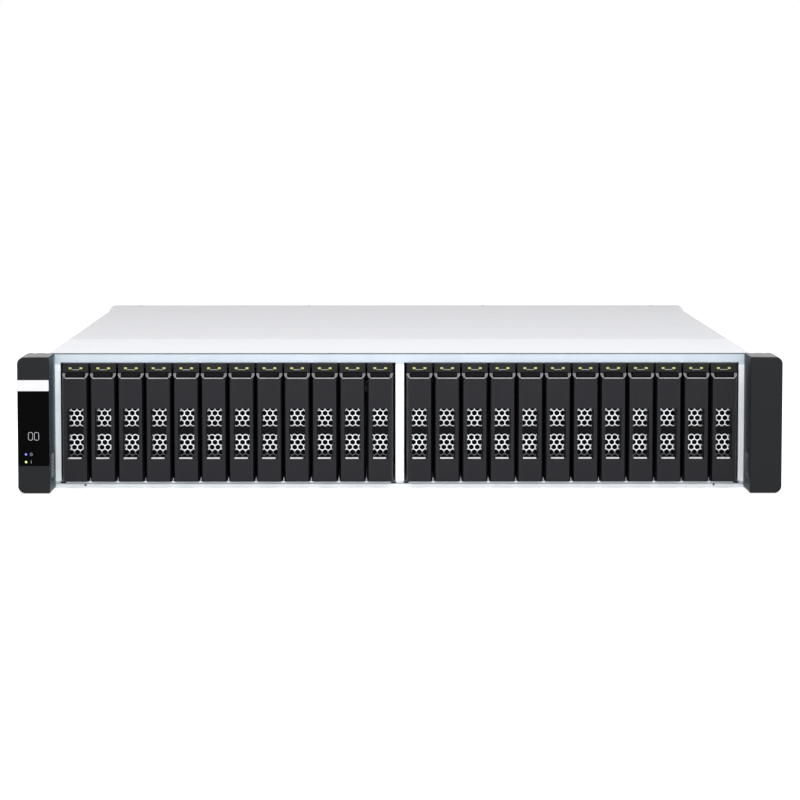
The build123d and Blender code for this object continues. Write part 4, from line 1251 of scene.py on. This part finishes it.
# %% Power modules
GUARD_WIRE = 0.6 * MM
GUARD_SHARES = (0.3, 0.55, 0.8, 1.05)
SPOKE_SHARES = (0.3, 1.18)
SPOKE_TURNS = math.pi / 4 + np.arange(4) * math.pi / 2
PIN_PLACES = ((-7.0 * MM, -2.0 * MM), (0.0, 2.0 * MM), (7.0 * MM, -2.0 * MM))
LIGHT_ABOVE_INLET = 6.0 * MM
CASE_SCREW_INSET = 4.0 * MM
# The inlet's well is a black plate: the inlet's own black plastic and painted shade in its recess.
well = plate(rounded_outline(24 * MM, 17 * MM, 3 * MM), 0.2 * MM, 0.05 * MM)
pin = plate(rounded_outline(2.0 * MM, 4.4 * MM, 0.4 * MM, 3), 2.4 * MM, 0.5 * MM)
lamp = plate(circle_outline(1.3 * MM, 16), 0.6 * MM, 0.4 * MM)
for side in ("left", "right"):
    node = "power_module_" + side
    body = body_of_node[node]
    case, *fans, handle, inlet = solids_of(node)
    points, faces, numbers = joined_arrays([case, *fans, handle, inlet])
    mesh = softened(node, points, faces, [module_zinc, fan_black, ejector_blue], 0.2 * MM,
                    np.array([0, 1, 1, 2, 1])[numbers])
    piece(node + "_dressed", mesh, body, [node])
    case_low, case_high = span(case[0])
    guard_parts = []
    for fan_points, _ in fans:
        fan_low, fan_high = span(fan_points)
        radius = (fan_high[2] - fan_low[2]) / 2
        place = ((fan_low[0] + fan_high[0]) / 2, case_high[1] + GUARD_WIRE, (fan_low[2] + fan_high[2]) / 2)
        spoke = wire_spoke(*(radius * share for share in SPOKE_SHARES), GUARD_WIRE)
        guard_parts += [at(wire_ring(radius * share, GUARD_WIRE), place) for share in GUARD_SHARES]
        guard_parts += [at(turned_in_plane(spoke, turn), place) for turn in SPOKE_TURNS]
    small_piece("fan_guards_" + side, guard_parts, [wire_nickel], [0] * len(guard_parts), body)
    inlet_low, inlet_high = span(inlet[0])
    inlet_x, _, inlet_z = (inlet_low + inlet_high) / 2
    inlet_parts = [at(well, (inlet_x, case_high[1], inlet_z), REAR_TURN)]
    inlet_parts += [at(pin, (inlet_x + x, case_high[1], inlet_z + z), REAR_TURN) for x, z in PIN_PLACES]
    small_piece("inlet_pins_" + side, inlet_parts, [black_and_recess_shade, wire_nickel], [0] + [1] * len(PIN_PLACES),
                body)
    light_place = (inlet_x, case_high[1], inlet_high[2] + LIGHT_ABOVE_INLET)
    small_piece("power_light_" + side, [at(lamp, light_place, REAR_TURN)], [green_light], [0], body)
    places = [(x, case_high[1], z) for x in (case_low[0] + CASE_SCREW_INSET, case_high[0] - CASE_SCREW_INSET)
              for z in (case_low[2] + CASE_SCREW_INSET, case_high[2] - CASE_SCREW_INSET)]
    screws("power_screws_" + side, places, 1.8 * MM, REAR_TURN, body)
print("power modules done")

# %% [markdown]
# ## Sides and lid
# Low rivets hold the tub's walls to the bulkheads, and small screws hold the lid near its rear edge.

# %% Rivets and lid screws
rivet = plate(circle_outline(2.2 * MM, 20), 0.7 * MM, 0.6 * MM)
RIVET_ROWS = (16 * MM, 66 * MM)
RIVET_DEPTHS = np.linspace(-110 * MM, 200 * MM, 6)
WALL_INSET = 4.0 * MM
wall_x = cover_high[0] - WALL_INSET
rivets = [at(rivet, (side * wall_x, y, z), LEFT_TURN if side < 0 else RIGHT_TURN)
          for side in (-1, 1) for y in RIVET_DEPTHS for z in RIVET_ROWS]
small_piece("wall_rivets", rivets, [screw_steel], [0] * len(rivets), "root")
SCREW_SINK = 0.95 * MM
SCREW_INSET = 8.0 * MM
LID_SCREW_X = (-205 * MM, -70 * MM, 70 * MM, 205 * MM)
lid_screws = [(x, cover_high[1] - SCREW_INSET, cover_high[2] - SCREW_SINK) for x in LID_SCREW_X]
screws("lid_screws", lid_screws, 2.4 * MM, TOP_TURN, "root")
print("rivets", len(rivets))
